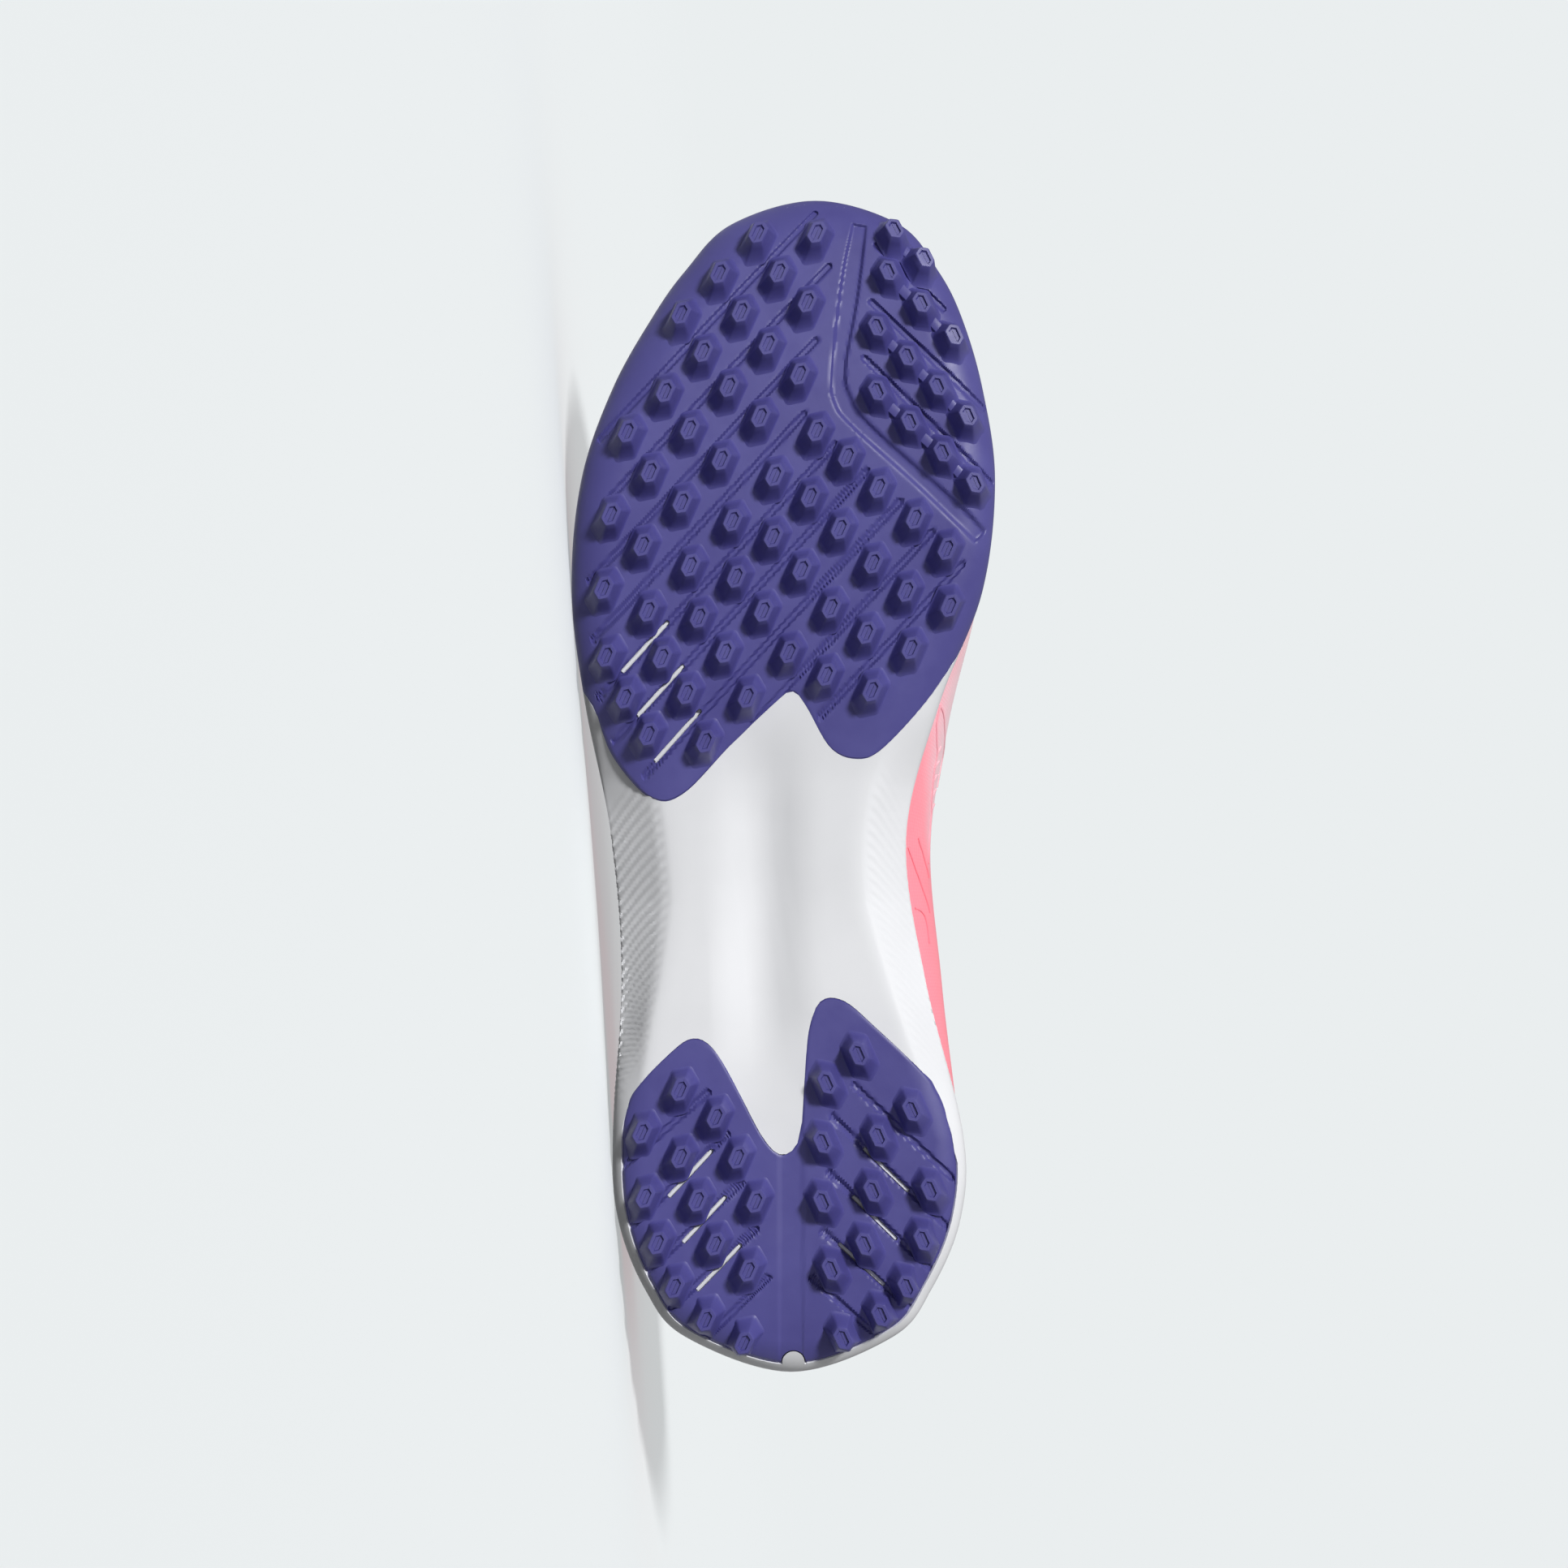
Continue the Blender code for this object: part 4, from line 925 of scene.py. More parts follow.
lugPattern = modelLug()
forefootRubber = modelForefootPlate(lugPattern)
layDown(forefootRubber, [rubber], "outsole_rubber", "outsole_forefoot")
heelRubber = modelHeelPlate(lugPattern)
layDown(heelRubber, [rubber], "outsole_rubber", "outsole_heel")
bpy.data.objects.remove(lugPattern)
smooth(forefootRubber, 34)
smooth(heelRubber, 34)

# Loops round the shoe

def stepsFor(fine, coarse, firstFine, lastFine):
    # Steps after each outline row, finer along the arch, the same on both sides
    oneSide = [fine if firstFine <= i < lastFine else coarse for i in range(len(outlineRows) - 1)]
    return oneSide + oneSide[::-1]


def planNormals(plan):
    return outward(np.roll(plan, -1, axis=0) - np.roll(plan, 1, axis=0))


def spineLine(plan):
    # The middle line that the skin's two halves meet on
    middle = (plan + np.roll(plan[::-1], 1, axis=0)) / 2
    centre = shoe["length"] / 2
    return np.stack([centre + (middle[:, 0] - centre) * 0.80, middle[:, 1]], 1)


def ring(plan, height):
    return np.column_stack([plan, np.broadcast_to(height, len(plan))])


def ringPiece(name, rings):
    rings = np.array(rings)
    return weld(addGrid(name, np.concatenate([rings, rings[:, :1]], 1)))


# Midsole

midsole = {
    "ribPitch": 0.0029,
    "ribSweep": 0.0165,
    "ribHeight": 0.0007,
    "ribSide": 0.9,
    "ribFade": 0.55,
    "ribSteep": 0.22,
    "ribStart": (0.34, 0.46),
    "ribMedial": 0.55,
    "ribSideways": (0.6, 0.35),
    "plateauEdge": 0.30,
    "plateauRound": 0.03,
    "valleySides": (-0.018, -0.005, -0.005, 0.0066),
    "valleyDepth": 0.0028,
    "rimRound": 0.0006,
    "pocketGap": 0.0003,
    "stripRise": 0.0005,
    "stripWidth": 0.0007,
    "stripHeight": 0.004,
    # along: first, last, and how softly each ends
    "ribZone": (0.082, 0.151, 0.006),
    "plateauZone": (0.074, 0.150, 0.014),
    "valleyZone": (0.078, 0.150, 0.016),
}


def archWindow(x, first, last, soft):
    return window(x, first - soft, first + soft, last - soft, last + soft)


def ribWave(x, share):
    # Shingled ribs, steep on the heel side, swept heelwards as they go outwards
    turns = (x + midsole["ribSweep"] * share**1.5) / midsole["ribPitch"]
    turn = turns - np.floor(turns)
    steep = midsole["ribSteep"]
    return np.where(turn < steep, turn / steep, (1.0 - turn) / (1.0 - steep))


def midsoleRelief(plan, distance):
    x, y = plan[:, 0], plan[:, 1]
    share = flankShare(x, y, distance)
    side = np.where(y < middleY(x), 1.0, midsole["ribMedial"])
    start = x + midsole["ribSweep"] * share**1.5
    ribs = archWindow(start, *midsole["ribZone"]) * ease(*midsole["ribStart"], share) * ribWave(x, share)
    beyond = share - midsole["plateauEdge"]
    straight = (beyond + np.sqrt(beyond**2 + midsole["plateauRound"] ** 2)) / 2 / (1.0 - midsole["plateauEdge"])
    gain = straight - (1.0 - np.sqrt(np.maximum(0.0, 1.0 - share**2)))
    plateau = (gain + np.sqrt(gain**2 + midsole["plateauRound"] ** 2)) / 2 * archWindow(x, *midsole["plateauZone"])
    valley = window(y, *midsole["valleySides"]) * archWindow(x, *midsole["valleyZone"])
    return plateau * shoe["flankRise"] - ribs * midsole["ribHeight"] * side + valley * midsole["valleyDepth"]


def foamHeight(plan, distance):
    return skinHeight(plan[:, 0], plan[:, 1], distance) + midsoleRelief(plan, distance)


def modelMidsole():
    plan = outlineLoop(stepsFor(80, 12, 4, 7))
    out = planNormals(plan)
    spine = spineLine(plan)
    rings = []
    for share in np.concatenate([np.linspace(1.0, 0.6, 5), np.linspace(0.56, 0.04, 27), [0.02, 0.008]]):
        place = mix(plan, spine, share)
        rings.append(ring(place, foamHeight(place, lineDistance(place, outline, True))))
    low = foamHeight(plan, np.zeros(len(plan)))
    top = rimTop(plan[:, 0])
    draft, wall, round = shoe["rimDraft"], shoe["rimWall"], midsole["rimRound"]
    sideways = np.where(plan[:, 1] < middleY(plan[:, 0]), *midsole["ribSideways"]) * midsole["ribHeight"]
    for share in np.linspace(0.0, 1.0, 9):
        height = mix(low, top - round, share)
        climb = plan[:, 0] + midsole["ribSide"] * (height - low)
        zone = archWindow(climb + midsole["ribSweep"], *midsole["ribZone"])
        bulge = zone * ribWave(climb, 1.0) * sideways * (1.0 - ease(midsole["ribFade"], 1.0, share))
        place = plan - out * (draft * share - bulge * min(share * 6, 1.0))[:, None]
        rings.append(ring(place, height))
    for inset, drop in ((0.3, 0.3), (1.0, 0.0)):
        rings.append(ring(plan - out * (draft + round * inset), top - round * drop))
    for inset, drop in ((1.0, 0.0), (0.3, 0.3), (0.0, 1.0)):
        rings.append(ring(plan - out * (draft + wall - round * inset), top - round * drop))
    inner = plan - out * (draft + wall)
    for share in (0.0, 0.3, 1.0):
        place = mix(inner, spine, share)
        rings.append(ring(place, footbedHeight(place[:, 0])))
    return ringPiece("midsoleFoam", rings)


def movedCurve(line, distance):
    return line + outward(np.gradient(line, axis=0)) * distance


def pocketCutter(name, lines, edge, endX, wrapRows):
    # The room that a rubber plate lies in, a little wider and deeper than the plate
    piece = plateGrid(name, lines, edge, endX, 90, 70, wrapRows)
    turnFaces(piece, -1)
    inner = plate["thickness"] + midsole["pocketGap"]
    outer = 0.004
    applyModifier(piece, "SOLIDIFY", thickness=inner + outer, offset=(outer - inner) / (outer + inner))
    return piece


def foamStrips(slots):
    # Foam that shows through the slots of the rubber
    strips = []
    for start, end in millimetres(slots):
        run = (end - start) * 0.97
        x, y = (start + end) / 2
        strip = addShape("cube", size=1.0)
        size = (float(np.linalg.norm(run)), midsole["stripWidth"], midsole["stripHeight"], 1.0)
        strip.data.transform(Matrix.Diagonal(size))
        down = skinDown(x, y)
        ahead = Vector((*run, 0.0))
        ahead = (ahead - down * ahead.dot(down)).normalized()
        depth = midsole["stripHeight"] / 2 + plate["thickness"] - midsole["stripRise"]
        turned = turnTo(ahead, down.cross(ahead), down)
        strip.data.transform(Matrix.Translation(skinPoint(x, y) - down * depth) @ turned)
        strips.append(strip)
    return strips


def modelMidsoleWithPockets():
    piece = modelMidsole()
    gap = midsole["pocketGap"]
    edge = movedCurve(edgeCurve(forefootEdge, shoe["ballWidth"]), gap)
    lines = (insetLine(lateralLine, -0.00005), insetLine(medialLine, -0.00005))
    cut(piece, pocketCutter("forefootPocket", lines, edge, shoe["length"] + 0.0002, 4))
    edge = movedCurve(edgeCurve(heelEdge, shoe["heelWidth"]), -gap)
    inset = plate["margin"] - gap
    lines = (insetLine(lateralLine, inset), insetLine(medialLine, inset))
    pocket = pocketCutter("heelPocket", lines, edge, inset + 0.0002, 0)
    cut(pocket, notchCutter(plate["notchRadius"] - gap))
    cut(piece, pocket)
    return joinAll("midsoleFoam", [piece, *foamStrips(forefootSlots), *foamStrips(heelSlots)])


midsoleFoam = modelMidsoleWithPockets()
layDown(midsoleFoam, [foam], "midsole_foam", "midsole")
smooth(midsoleFoam, 40)

# Upper

upper = {
    "collarHeight": 0.080,
    "instepHeight": 0.092,
    "vampHeight": 0.057,
    "collarWidth": 0.061,
    "throatWidth": 0.028,
    "wall": 0.0020,
    "margin": 0.0070,
    "eyestayStep": 0.0007,
    "collarPad": 0.0026,
    "eyeletRadius": 0.0023,
    "eyeletInset": 0.0070,
    "eyeletPairs": 6,
    "lineRadius": 0.00034,
}

# Rim: along, half widths, width, height, level; then lean lateral, lean medial, rise, spread, drop
upperRows = [
    (0.030, -0.02, 0.02, "collarWidth", 1.00, "collarHeight", 0.04, 0.04, 0.26, 0.04, 0.22),
    (0.033, 0.18, 0.20, "collarWidth", 0.99, "collarHeight", 0.05, 0.05, 0.26, 0.04, 0.22),
    (0.052, 0.33, 0.35, "collarWidth", 0.94, "collarHeight", 0.07, 0.06, 0.25, 0.04, 0.22),
    (0.097, 0.43, 0.44, "collarWidth", 0.86, "collarHeight", 0.09, 0.07, 0.22, 0.05, 0.20),
    (0.163, 0.49, 0.50, "collarWidth", 0.79, "collarHeight", 0.10, 0.10, 0.20, 0.06, 0.18),
    (0.275, 0.48, 0.50, "collarWidth", 0.83, "collarHeight", 0.11, 0.22, 0.19, 0.07, 0.18),
    (0.365, 0.62, 0.70, "throatWidth", 0.93, "instepHeight", 0.13, 0.29, 0.19, 0.15, 0.20),
    (0.420, 0.43, 0.53, "throatWidth", 0.985, "instepHeight", 0.14, 0.23, 0.19, 0.20, 0.12),
    (0.503, 0.37, 0.46, "throatWidth", 0.86, "instepHeight", 0.15, 0.13, 0.19, 0.23, 0.07),
    (0.590, 0.34, 0.42, "throatWidth", 0.745, "instepHeight", 0.12, 0.09, 0.19, 0.26, 0.055),
    (0.648, 0.29, 0.38, "throatWidth", 1.07, "vampHeight", 0.09, 0.06, 0.19, 0.32, 0.05),
    (0.673, 0.22, 0.33, "throatWidth", 1.03, "vampHeight", 0.07, 0.05, 0.18, 0.42, 0.06),
    (0.683, 0.14, 0.26, "throatWidth", 1.01, "vampHeight", 0.06, 0.05, 0.18, 0.50, 0.06),
    (0.688, 0.05, 0.17, "throatWidth", 1.00, "vampHeight", 0.05, 0.05, 0.18, 0.56, 0.07),
    (0.690, -0.06, 0.06, "throatWidth", 1.00, "vampHeight", 0.05, 0.05, 0.18, 0.58, 0.07),
]

# Embossed lines on the medial side, in millimetres along and across
embossedLines = [
    [
        (163.5, 38.5), (158.4, 37.6), (152.1, 37.9), (147.9, 37.3),
        (142.9, 36.7), (136.2, 36.5), (130.6, 36.1), (124.3, 35.8),
    ],
    [(163.5, 38.5), (161.8, 39.2), (156.8, 39.8), (150.0, 39.4), (143.0, 38.8)],
    [(151.2, 37.7), (153.2, 38.8)], [(147.9, 37.2), (149.6, 38.4)], [(144.5, 36.9), (146.2, 37.9)],
    [(140.7, 36.6), (142.6, 37.6)], [(137.3, 36.5), (139.0, 37.3)],
    [(130.6, 33.2), (126.2, 34.6), (120.9, 36.0)],
    [(128.4, 30.7), (122.9, 32.6), (116.7, 34.9), (112.3, 36.2)],
    [(113.4, 32.4), (112.4, 34.2), (109.5, 35.4), (104.5, 36.0)],
]


# Where the coral starts to pale: along, height above the sole's rim, and over what height
blushRows = (
    [0.0, 0.090, 0.110, 0.125, 0.140, 0.165, 0.288], [0.034, 0.028, 0.014, 0.004, -0.001, -0.007, -0.007], 0.018
)


def upperLoop(stepCounts):
    # Outline, rim and the wall's pulls, at even steps round the shoe
    lateral, medial = [], []
    for outer, row in zip(outlineRows, upperRows):
        width = localWidth(outer[0])
        shared = [row[4] * upper[row[5]]]
        for side, sign, half, reach, lean in (
            (lateral, -1, outer[1], row[1], row[6]),
            (medial, 1, outer[2], row[2], row[7]),
        ):
            start = [outer[0] * shoe["length"], sign * half * width, row[0] * shoe["length"]]
            side.append(np.array([*start, sign * reach * upper[row[3]], *shared, lean, *row[8:]]))
    return closedSpline(lateral + medial[-2:0:-1], stepCounts)


def wallGrid(loop, shares):
    # Points of the outer face, rows from the sole to the rim
    plan, edge = loop[:, :2], loop[:, 2:5]
    lean, rise, spread, drop = (loop[:, i:i + 1] * upper["collarHeight"] for i in range(5, 9))
    out = planNormals(plan)
    foot = plan - out * (shoe["rimDraft"] + shoe["rimWall"] + shoe["gap"])
    foot = np.column_stack([foot, rimTop(foot[:, 0]) + shoe["gap"]])
    outward = np.column_stack([out, np.zeros(len(out))])
    towards = (foot - edge) * [1.0, 1.0, 0.0]
    towards /= np.linalg.norm(towards, axis=1)[:, None]
    up = np.array([0.0, 0.0, 1.0])
    low = foot + outward * lean + up * rise
    high = edge + towards * spread - up * drop
    t = np.array(shares)[:, None, None]
    s = 1.0 - t
    return foot * s**3 + low * 3 * s * s * t + high * 3 * s * t * t + edge * t**3


def wallNormals(wall):
    around = np.roll(wall, -1, axis=1) - np.roll(wall, 1, axis=1)
    normals = np.cross(around, np.gradient(wall, axis=0))
    normals /= np.linalg.norm(normals, axis=2)[:, :, None]
    middle = wall[len(wall) // 3]
    away = middle - middle.mean(0)
    return normals if (away * normals[len(wall) // 3]).sum() > 0 else -normals


stayShares = [0.775, 0.785, 0.795, 0.805, 0.815]
wallShares = np.concatenate([np.linspace(0.0, 0.765, 50), stayShares, np.linspace(0.83, 1.0, 12)])
wallLoop = upperLoop(stepsFor(24, 10, 4, 9))
smoothWall = wallGrid(wallLoop, wallShares)
smoothNormals = wallNormals(smoothWall)
stayLift = upper["eyestayStep"] * ease(0.780, 0.810, wallShares)
outerWall = smoothWall + smoothNormals * stayLift[:, None, None]
outerNormals = wallNormals(outerWall)


def throatPlace(side, edgeX, inset):
    # Point and outward direction on the wall, an inset from the rim of the throat
    half = outerWall.shape[1] // 2
    order = np.arange(5, half + 1) if side == "lateral" else np.arange(outerWall.shape[1] - 5, half - 1, -1)
    order = order[wallLoop[order, 2] > 0.36 * shoe["length"]]
    place = float(np.interp(edgeX, wallLoop[order, 2], np.arange(len(order))))
    low = min(int(place), len(order) - 2)
    line = mix(smoothWall[:, order[low]], smoothWall[:, order[low + 1]], place - low)[::-1]
    normals = mix(smoothNormals[:, order[low]], smoothNormals[:, order[low + 1]], place - low)[::-1]
    lengths = np.concatenate([[0.0], np.cumsum(np.linalg.norm(np.diff(line, axis=0), axis=1))])
    point = [np.interp(inset, lengths, line[:, axis]) for axis in range(3)]
    normal = [np.interp(max(inset, 0.001), lengths, normals[:, axis]) for axis in range(3)]
    return Vector(point), Vector(normal).normalized()


def eyeletEdges():
    ends = (0.640 * shoe["length"], 0.412 * shoe["length"])
    return [mix(*ends, i / (upper["eyeletPairs"] - 1)) for i in range(upper["eyeletPairs"])]


def sweep(name, points, sides, ups, halfWidth, halfThickness, corners=12):
    # A rounded bar along points, closed at both ends
    angles = np.linspace(0.0, 2 * np.pi, corners + 1)
    rows = []
    count = len(points)
    for i in range(-1, count + 1):
        j = min(max(i, 0), count - 1)
        size = 0.0 if i in (-1, count) else 1.0
        cosine, sine = np.cos(angles), np.sin(angles)
        wide = np.sign(cosine) * np.abs(cosine) ** 0.7 * halfWidth * size
        thick = np.sign(sine) * np.abs(sine) ** 0.7 * halfThickness * size
        rows.append(points[j] + np.outer(wide, sides[j]) + np.outer(thick, ups[j]))
    return weld(addGrid(name, np.array(rows)), 0.000001)


def modelLines():
    # Thin raised lines that lie on the medial wall where the photograph shows them
    loop = upperLoop(stepsFor(80, 4, 4, 9))
    shares = np.linspace(0.0, 0.6, 260)
    wall = wallGrid(loop, shares)
    normals = wallNormals(wall)
    half = wall.shape[1] // 2
    wall, normals = wall[:, half:], normals[:, half:]
    below = normals[:, :, 2] < 0.05
    points, directions = wall[below], normals[below]
    lines = []
    for line in embossedLines:
        plan = openSpline(millimetres(line), 7)
        found = [int(np.argmin(((points[:, :2] - place) ** 2).sum(1))) for place in plan]
        route = points[found]
        for _ in range(2):
            route[1:-1] = (route[:-2] + 2 * route[1:-1] + route[2:]) / 4
        ahead = np.gradient(route, axis=0)
        sides = np.cross(ahead, directions[found])
        sides /= np.linalg.norm(sides, axis=1)[:, None] + 1e-9
        radius = upper["lineRadius"]
        lines.append(sweep("embossedLine", route, sides, directions[found], radius, radius, 8))
    return lines


def paintBlush(piece):
    # 0 is coral beside the sole, 1 the pale pink further up and at the toe
    points = coordinates(piece)
    above = points[:, 2] - rimTop(points[:, 0])
    start = np.interp(points[:, 0], blushRows[0], blushRows[1])
    store(piece, "blush", ease(0.0, 1.0, (above - start) / blushRows[2]))


def modelUpper():
    out = planNormals(wallLoop[:, :2])
    inset = shoe["rimDraft"] + shoe["rimWall"] + shoe["gap"]
    wall = upper["wall"]

    def flat(depth, lift):
        plan = wallLoop[:, :2] - out * depth
        return ring(plan, footbedHeight(plan[:, 0]) + shoe["gap"] + lift)

    rings = [flat(inset + upper["margin"], 0.0), flat(inset, 0.0)]
    rings += list(outerWall)
    climb = outerWall[-1] - outerWall[-2]
    climb /= np.linalg.norm(climb, axis=1)[:, None]
    centre = outerWall[-1] - outerNormals[-1] * wall / 2
    for angle in np.radians([30, 60, 90, 120, 150]):
        rings.append(centre + (outerNormals[-1] * math.cos(angle) + climb * math.sin(angle)) * wall / 2)
    pad = ease(0.36, 0.30, wallLoop[:, 2] / shoe["length"]) * upper["collarPad"]
    for row in range(len(wallShares) - 1, -1, -2):
        swell = ease(1.0, 0.94, wallShares[row]) * ease(0.66, 0.84, wallShares[row])
        rings.append(outerWall[row] - outerNormals[row] * (wall + pad * swell)[:, None])
    rings += [flat(inset + wall, wall), flat(inset + upper["margin"], wall)]
    rings.append(rings[0])
    rings = np.array(rings)
    lengths = np.cumsum(np.linalg.norm(np.diff(rings, axis=0, prepend=rings[:1]), axis=2), axis=0)
    around = np.linalg.norm(np.roll(wallLoop[:, :2], -1, axis=0) - wallLoop[:, :2], axis=1)
    around = np.concatenate([[0.0], np.cumsum(around)])
    rings = np.concatenate([rings, rings[:, :1]], 1)
    lengths = np.concatenate([lengths, lengths[:, :1]], 1)
    piece = addGrid("upperKnit", rings)
    store(piece, "knitPlace", np.stack([np.broadcast_to(around, lengths.shape), lengths, np.zeros(lengths.shape)], 2))
    inner = 2 + len(wallShares) + 2
    for face in piece.data.polygons:
        face.material_index = int(min(face.vertices) // rings.shape[1] >= inner)
    weld(piece)
    drills = []
    for edgeX in eyeletEdges():
        for side in ("lateral", "medial"):
            point, normal = throatPlace(side, edgeX, upper["eyeletInset"])
            drill = addShape("cylinder", vertices=24, radius=upper["eyeletRadius"], depth=0.012)
            turn = Vector((0, 0, 1)).rotation_difference(normal).to_matrix().to_4x4()
            drill.data.transform(Matrix.Translation(point) @ turn)
            drills.append(drill)
    cut(piece, joinAll("eyeletDrills", drills))
    lines = modelLines()
    for line in lines:
        for face in line.data.polygons:
            face.material_index = 2
    piece.data.materials.append(knit)
    piece.data.materials.append(lining)
    for line in lines:
        line.data.materials.append(embossed)
    piece = joinAll("upperKnit", [piece, *lines])
    paintBlush(piece)
    return piece


upperKnit = modelUpper()
layDown(upperKnit, [knit, lining, embossed], "upper_knit", "upper")
smooth(upperKnit, 50)

# Tongue, insole and laces

inside = {
    "tongueDepth": 0.0033,
    "tongueThickness": 0.0040,
    "tongueWing": 0.0130,
    "tongueRise": 0.0300,
    "tongueTuck": 0.0200,
    "tuckSlope": 0.42,
    "tongueCrown": 0.096,
    "insoleThickness": 0.0035,
    "insoleRound": 0.0012,
    "laceWidth": 0.0050,
    "laceThickness": 0.0014,
    "laceLift": 0.0021,
    "laceCrown": 0.0012,
}


def tongueSection(edgeX):
    # Across the throat at one place, from under one eyestay to under the other
    wings = {}
    for side in ("lateral", "medial"):
        wings[side] = []
        for inset in (inside["tongueWing"], inside["tongueWing"] / 2, 0.0):
            point, normal = throatPlace(side, edgeX, inset)
            wings[side].append(point - normal * inside["tongueDepth"])
    left, right = wings["lateral"][-1], wings["medial"][-1]
    crown = Vector((0, 0, inside["tongueCrown"] * (right - left).length))
    middle = [left.lerp(right, 0.3) + crown, left.lerp(right, 0.7) + crown]
    return wings["lateral"] + middle + wings["medial"][::-1]


def modelTongue():
    ends = (0.655 * shoe["length"], 0.430 * shoe["length"])
    sections = [tongueSection(mix(*ends, i / 6)) for i in range(7)]
    first, last = sections[0], sections[-1]
    middle = (first[3] + first[4]) / 2
    for reach, spread in ((0.5, 0.85), (1.0, 0.60)):
        move = Vector((1.0, 0.0, -inside["tuckSlope"])) * inside["tongueTuck"] * reach
        sections.insert(0, [middle + (point - middle) * spread + move for point in first])
    run = (last[3] - sections[-3][3]).normalized()
    centre = (last[3] + last[4]) / 2
    for reach, spread, lift in ((0.35, 0.74, 0.0), (0.65, 0.69, 0.10), (1.0, 0.68, 0.30)):
        move = (run * reach + Vector((0, 0, lift))) * inside["tongueRise"]
        sections.append([centre + (point - centre) * spread + move for point in last])
    across = [openSpline(section, 3) for section in sections]
    grid = np.array([openSpline([section[i] for section in across], 4) for i in range(len(across[0]))])
    piece = addGrid("tonguePad", grid)
    turnFaces(piece, 1)
    applyModifier(piece, "SOLIDIFY", thickness=inside["tongueThickness"], offset=-1.0)
    applyModifier(piece, "SUBSURF", levels=1)
    makeActive(piece)
    bpy.ops.object.shade_smooth()
    return piece


def modelInsole():
    plan = outlineLoop(stepsFor(12, 12, 4, 9))
    out = planNormals(plan)
    spine = spineLine(plan)
    inset = shoe["rimDraft"] + shoe["rimWall"] + upper["wall"] + 3 * shoe["gap"]
    edge = plan - out * inset
    lift = upper["wall"] + 2 * shoe["gap"]
    top = lift + inside["insoleThickness"]

    def level(share, height):
        place = mix(edge, spine, share)
        return ring(place, footbedHeight(place[:, 0]) + height)

    def rounded(degrees, height, up):
        angle, radius = math.radians(degrees), inside["insoleRound"]
        place = edge - out * radius * (1.0 - math.sin(angle))
        return ring(place, footbedHeight(edge[:, 0]) + height + up * radius * (1.0 - math.cos(angle)))

    rings = [level(share, lift) for share in (1.0, 0.6, 0.2)]
    rings += [rounded(degrees, lift, 1) for degrees in (0, 30, 60, 90)]
    rings += [rounded(degrees, top, -1) for degrees in (90, 60, 30, 0)]
    rings += [level(share, top) for share in (0.08, 0.2, 0.4, 0.7, 1.0)]
    piece = ringPiece("insolePad", rings)
    smooth(piece, 40)
    return piece


def laceRoute(startSide, startX, endX, startLayer, endLayer):
    # From inside one eyelet, over rim and tongue, into the one opposite
    endSide = "medial" if startSide == "lateral" else "lateral"
    inset, lift = upper["eyeletInset"], inside["laceLift"]
    half = [(inset, -0.0030), (inset, 0.0002), (inset - 0.0012, lift), (inset / 2, lift), (0.0, lift)]
    stops = [(startSide, *stop) for stop in half] + [None] + [(endSide, *stop) for stop in half[::-1]]
    shares = [0.0, 0.0, 0.06, 0.2, 0.36, 0.5, 0.64, 0.8, 0.94, 1.0, 1.0]
    points, ups = [], []
    for stop, share in zip(stops, shares):
        edgeX = mix(startX, endX, share)
        if stop is None:
            left, leftUp = throatPlace("lateral", edgeX, 0.0)
            right, rightUp = throatPlace("medial", edgeX, 0.0)
            up = (leftUp + rightUp).normalized()
            point = (left + right) / 2 + up * (inside["laceCrown"] + lift)
        else:
            point, up = throatPlace(stop[0], edgeX, stop[1])
            point = point + up * stop[2]
        layer = mix(startLayer, endLayer, share) * inside["laceThickness"]
        points.append(np.array(point + up * (layer if 0.0 < share < 1.0 else 0.0)))
        ups.append(np.array(up))
    return openSpline(points, 6), openSpline(ups, 6)


def modelLaces():
    edges = eyeletEdges()
    routes = [("lateral", edges[0], edges[0], 0.10, 0.10)]
    for low, high in zip(edges, edges[1:]):
        routes.append(("lateral", low, high, 1.15, 0.0))
        routes.append(("medial", low, high, 0.0, 1.15))
    strands = []
    for route in routes:
        points, ups = laceRoute(*route)
        ahead = np.gradient(points, axis=0)
        ahead /= np.linalg.norm(ahead, axis=1)[:, None]
        steep = np.abs((ahead * ups).sum(1))[:, None]
        chord = points[-1] - points[0]
        chord = chord / np.linalg.norm(chord)
        sides = np.cross(ups, mix(ahead, chord[None, :], np.clip(steep, 0.0, 1.0)))
        sides /= np.linalg.norm(sides, axis=1)[:, None]
        faces = np.cross(ahead, sides)
        width = inside["laceWidth"] / 2 * (1.0 - 0.25 * ease(0.3, 0.9, steep))
        strands.append(sweep("laceStrand", points, sides * width, faces, 1.0, inside["laceThickness"] / 2, 14))
    piece = joinAll("laceWeave", strands)
    smooth(piece, 60)
    return piece


tonguePad = modelTongue()
layDown(tonguePad, [tongueKnit], "tongue_knit", "tongue")
insolePad = modelInsole()
layDown(insolePad, [insoleFabric], "insole_fabric", "insole")
laceWeave = modelLaces()
layDown(laceWeave, [laceFabric], "lace_weave", "laces")

# Stage

stage = {
    "paper": srgb(234, 238, 239),
    "floorRadius": 1.1,
    "farLight": 0.55,
    "lightAbove": 0.42,
    "lightBelow": 0.02,
    "keyStrength": 2.72,
    "keyFrom": (-0.38, -0.74, 0.50),
    "keySoftness": 9.0,
    "floorShare": 0.70,
    "floorGlow": 0.45,
    "cameraDistance": 1.40,
    "frameWidth": 1932 / 5045.0,
    "frameCentre": (0.1440, 0.0, 0.012),
    "sensor": 36.0,
}


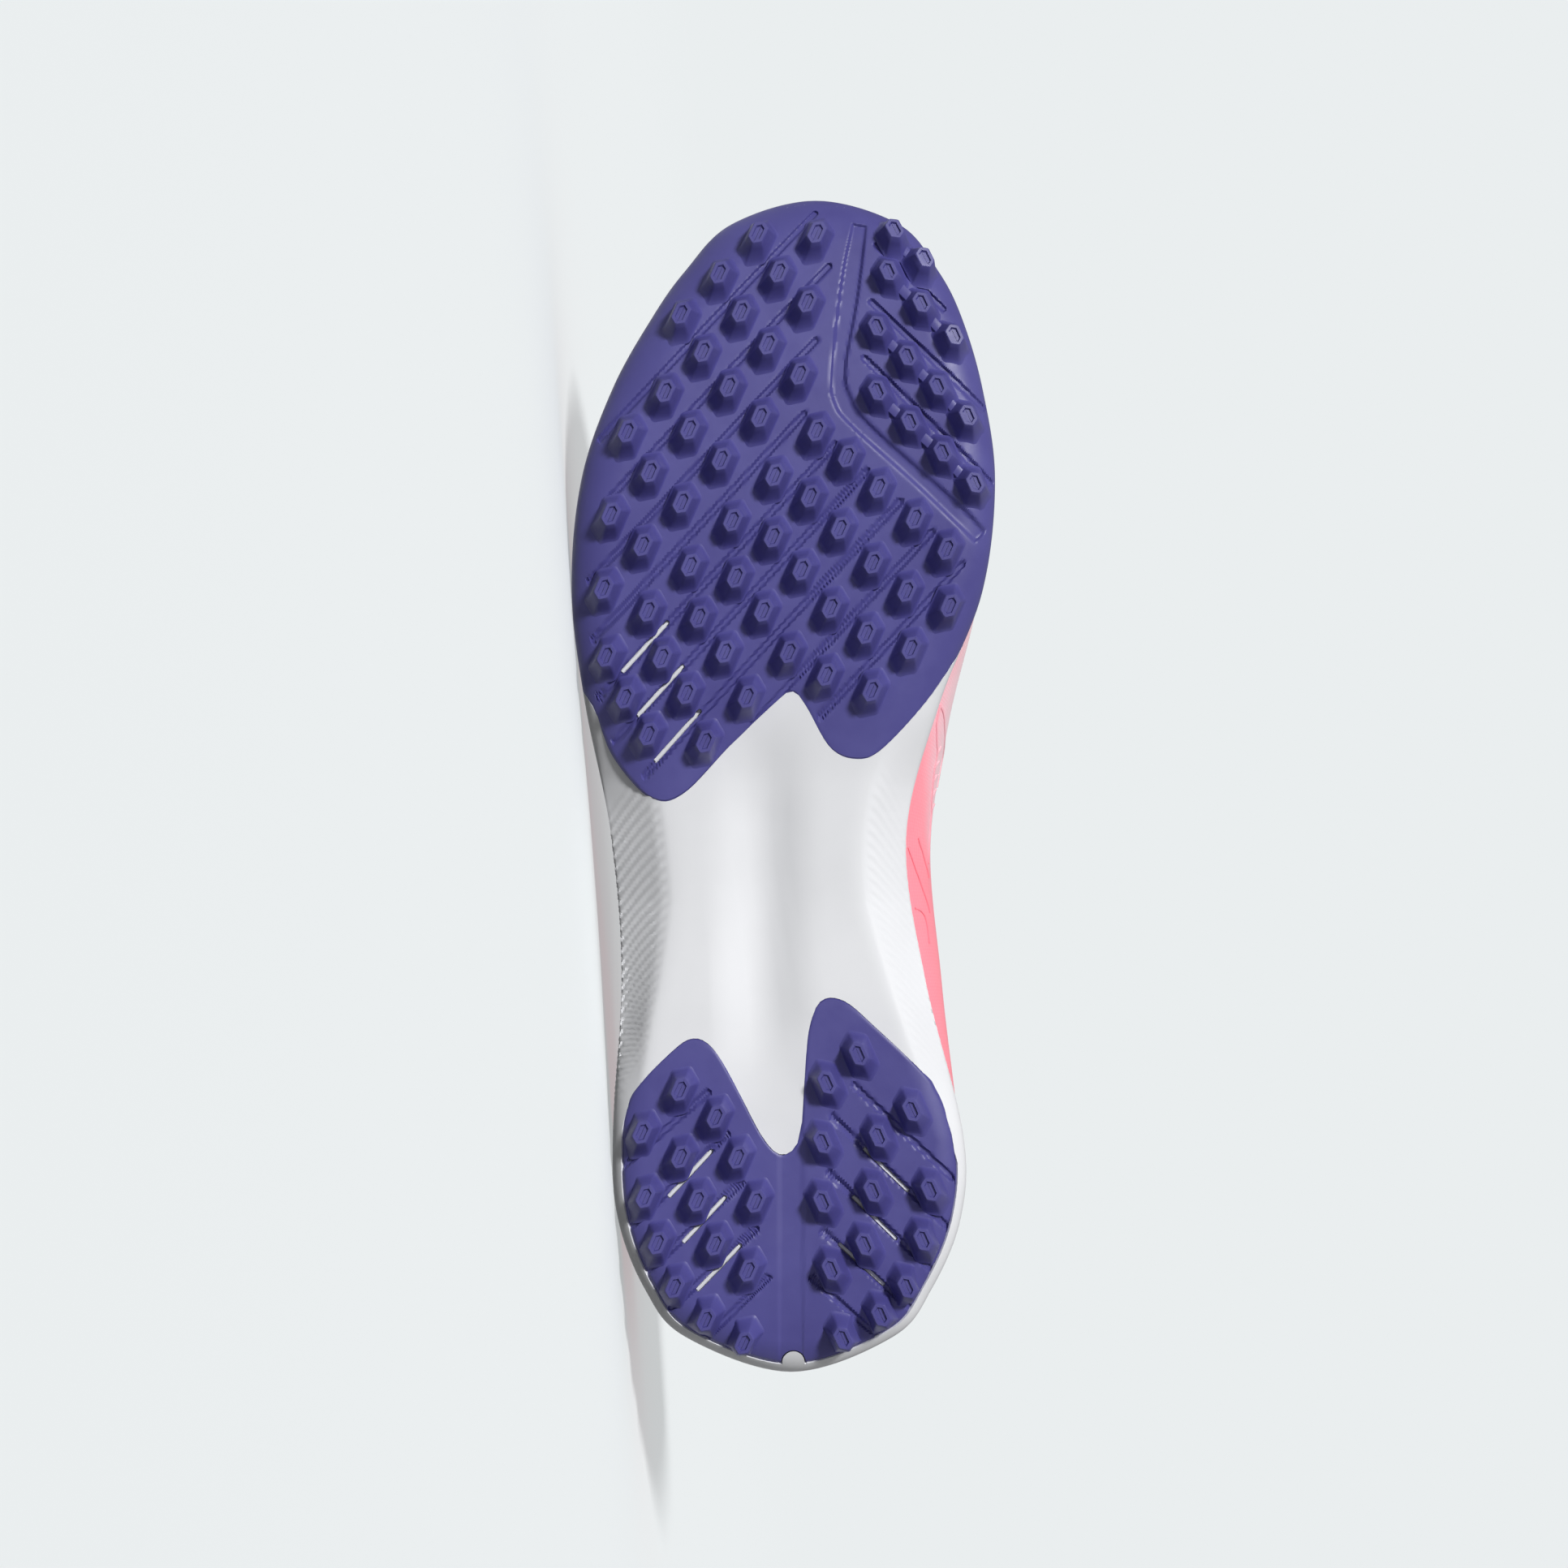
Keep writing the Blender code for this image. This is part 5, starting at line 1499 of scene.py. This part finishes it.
def addFloor():
    # Paper that takes the shadow near the shoe and glows evenly further out
    floor = addShape("circle", vertices=96, radius=stage["floorRadius"], fill_type="NGON")
    floor.name = "studioFloor"
    material, tree, shader = newMaterial("studioPaper")
    feed(tree, shader, {
        "Base Color": tuple(c * stage["floorShare"] for c in stage["paper"][:3]) + (1.0,),
        "Roughness": 1.0,
        "Specular IOR Level": 0.0,
        "Emission Color": stage["paper"],
        "Emission Strength": stage["floorGlow"],
    })
    glow = addNode(tree, "Emission", "Emission", {"Color": stage["paper"]})
    place = addNode(tree, "TexCoord", "Object", {})
    distance = addNode(tree, "VectorMath", "Value", {0: place}, operation="LENGTH")
    far = rangeOf(tree, distance, stage["farLight"], stage["floorRadius"] - 0.05, 0.0, 1.0)
    blend = addNode(tree, "MixShader", "Shader", {"Fac": far, 1: shader.outputs["BSDF"], 2: glow})
    feed(tree, tree.nodes["Material Output"], {"Surface": blend})
    floor.data.materials.append(material)
    floor.visible_diffuse = False


def addBackdrop():
    # A far sphere of the same tone, which sends no light to the shoe
    backdrop = addShape("uv_sphere", segments=48, ring_count=24, radius=14.0)
    backdrop.name = "studioBackdrop"
    material, tree, shader = newMaterial("studioBackdrop")
    feed(tree, shader, {
        "Base Color": (0.0, 0.0, 0.0, 1.0),
        "Specular IOR Level": 0.0,
        "Emission Color": stage["paper"],
        "Emission Strength": 1.0,
    })
    backdrop.data.materials.append(material)
    backdrop.visible_diffuse = False
    backdrop.visible_glossy = False
    backdrop.visible_shadow = False


def addSun():
    light = bpy.data.lights.new("key", "SUN")
    light.energy = stage["keyStrength"]
    light.angle = math.radians(stage["keySoftness"])
    lamp = bpy.data.objects.new("key", light)
    bpy.context.collection.objects.link(lamp)
    lamp.location = Vector(stage["keyFrom"]) * 2.0
    lamp.rotation_euler = (-Vector(stage["keyFrom"])).to_track_quat("-Z", "Y").to_euler()


def addCamera():
    lens = bpy.data.cameras.new("camera")
    camera = bpy.data.objects.new("camera", lens)
    bpy.context.collection.objects.link(camera)
    toe, _, forward = lyingPose.to_3x3().col
    centre = lyingPose @ Vector(stage["frameCentre"])
    turn = turnTo(forward.cross(toe), toe, -forward)
    camera.matrix_world = Matrix.Translation(centre - forward * stage["cameraDistance"]) @ turn
    lens.sensor_width = stage["sensor"]
    lens.lens = stage["sensor"] * stage["cameraDistance"] / stage["frameWidth"]
    lens.clip_end = 50.0
    bpy.context.scene.camera = camera


def addWorld():
    world = bpy.data.worlds.new("studio")
    bpy.context.scene.world = world
    world.use_nodes = True
    # Brighter from above than from below, as from a large soft light over the table
    tree = world.node_tree
    height = addNode(tree, "SeparateXYZ", "Z", {"Vector": addNode(tree, "TexCoord", "Generated", {})})
    strength = rangeOf(tree, height, -1.0, 1.0, stage["lightBelow"], stage["lightAbove"])
    feed(tree, tree.nodes["Background"], {"Color": (1.0, 1.0, 1.0, 1.0), "Strength": strength})


addFloor()
addBackdrop()
addSun()
addCamera()
addWorld()
bpy.context.scene.view_settings.view_transform = "Standard"
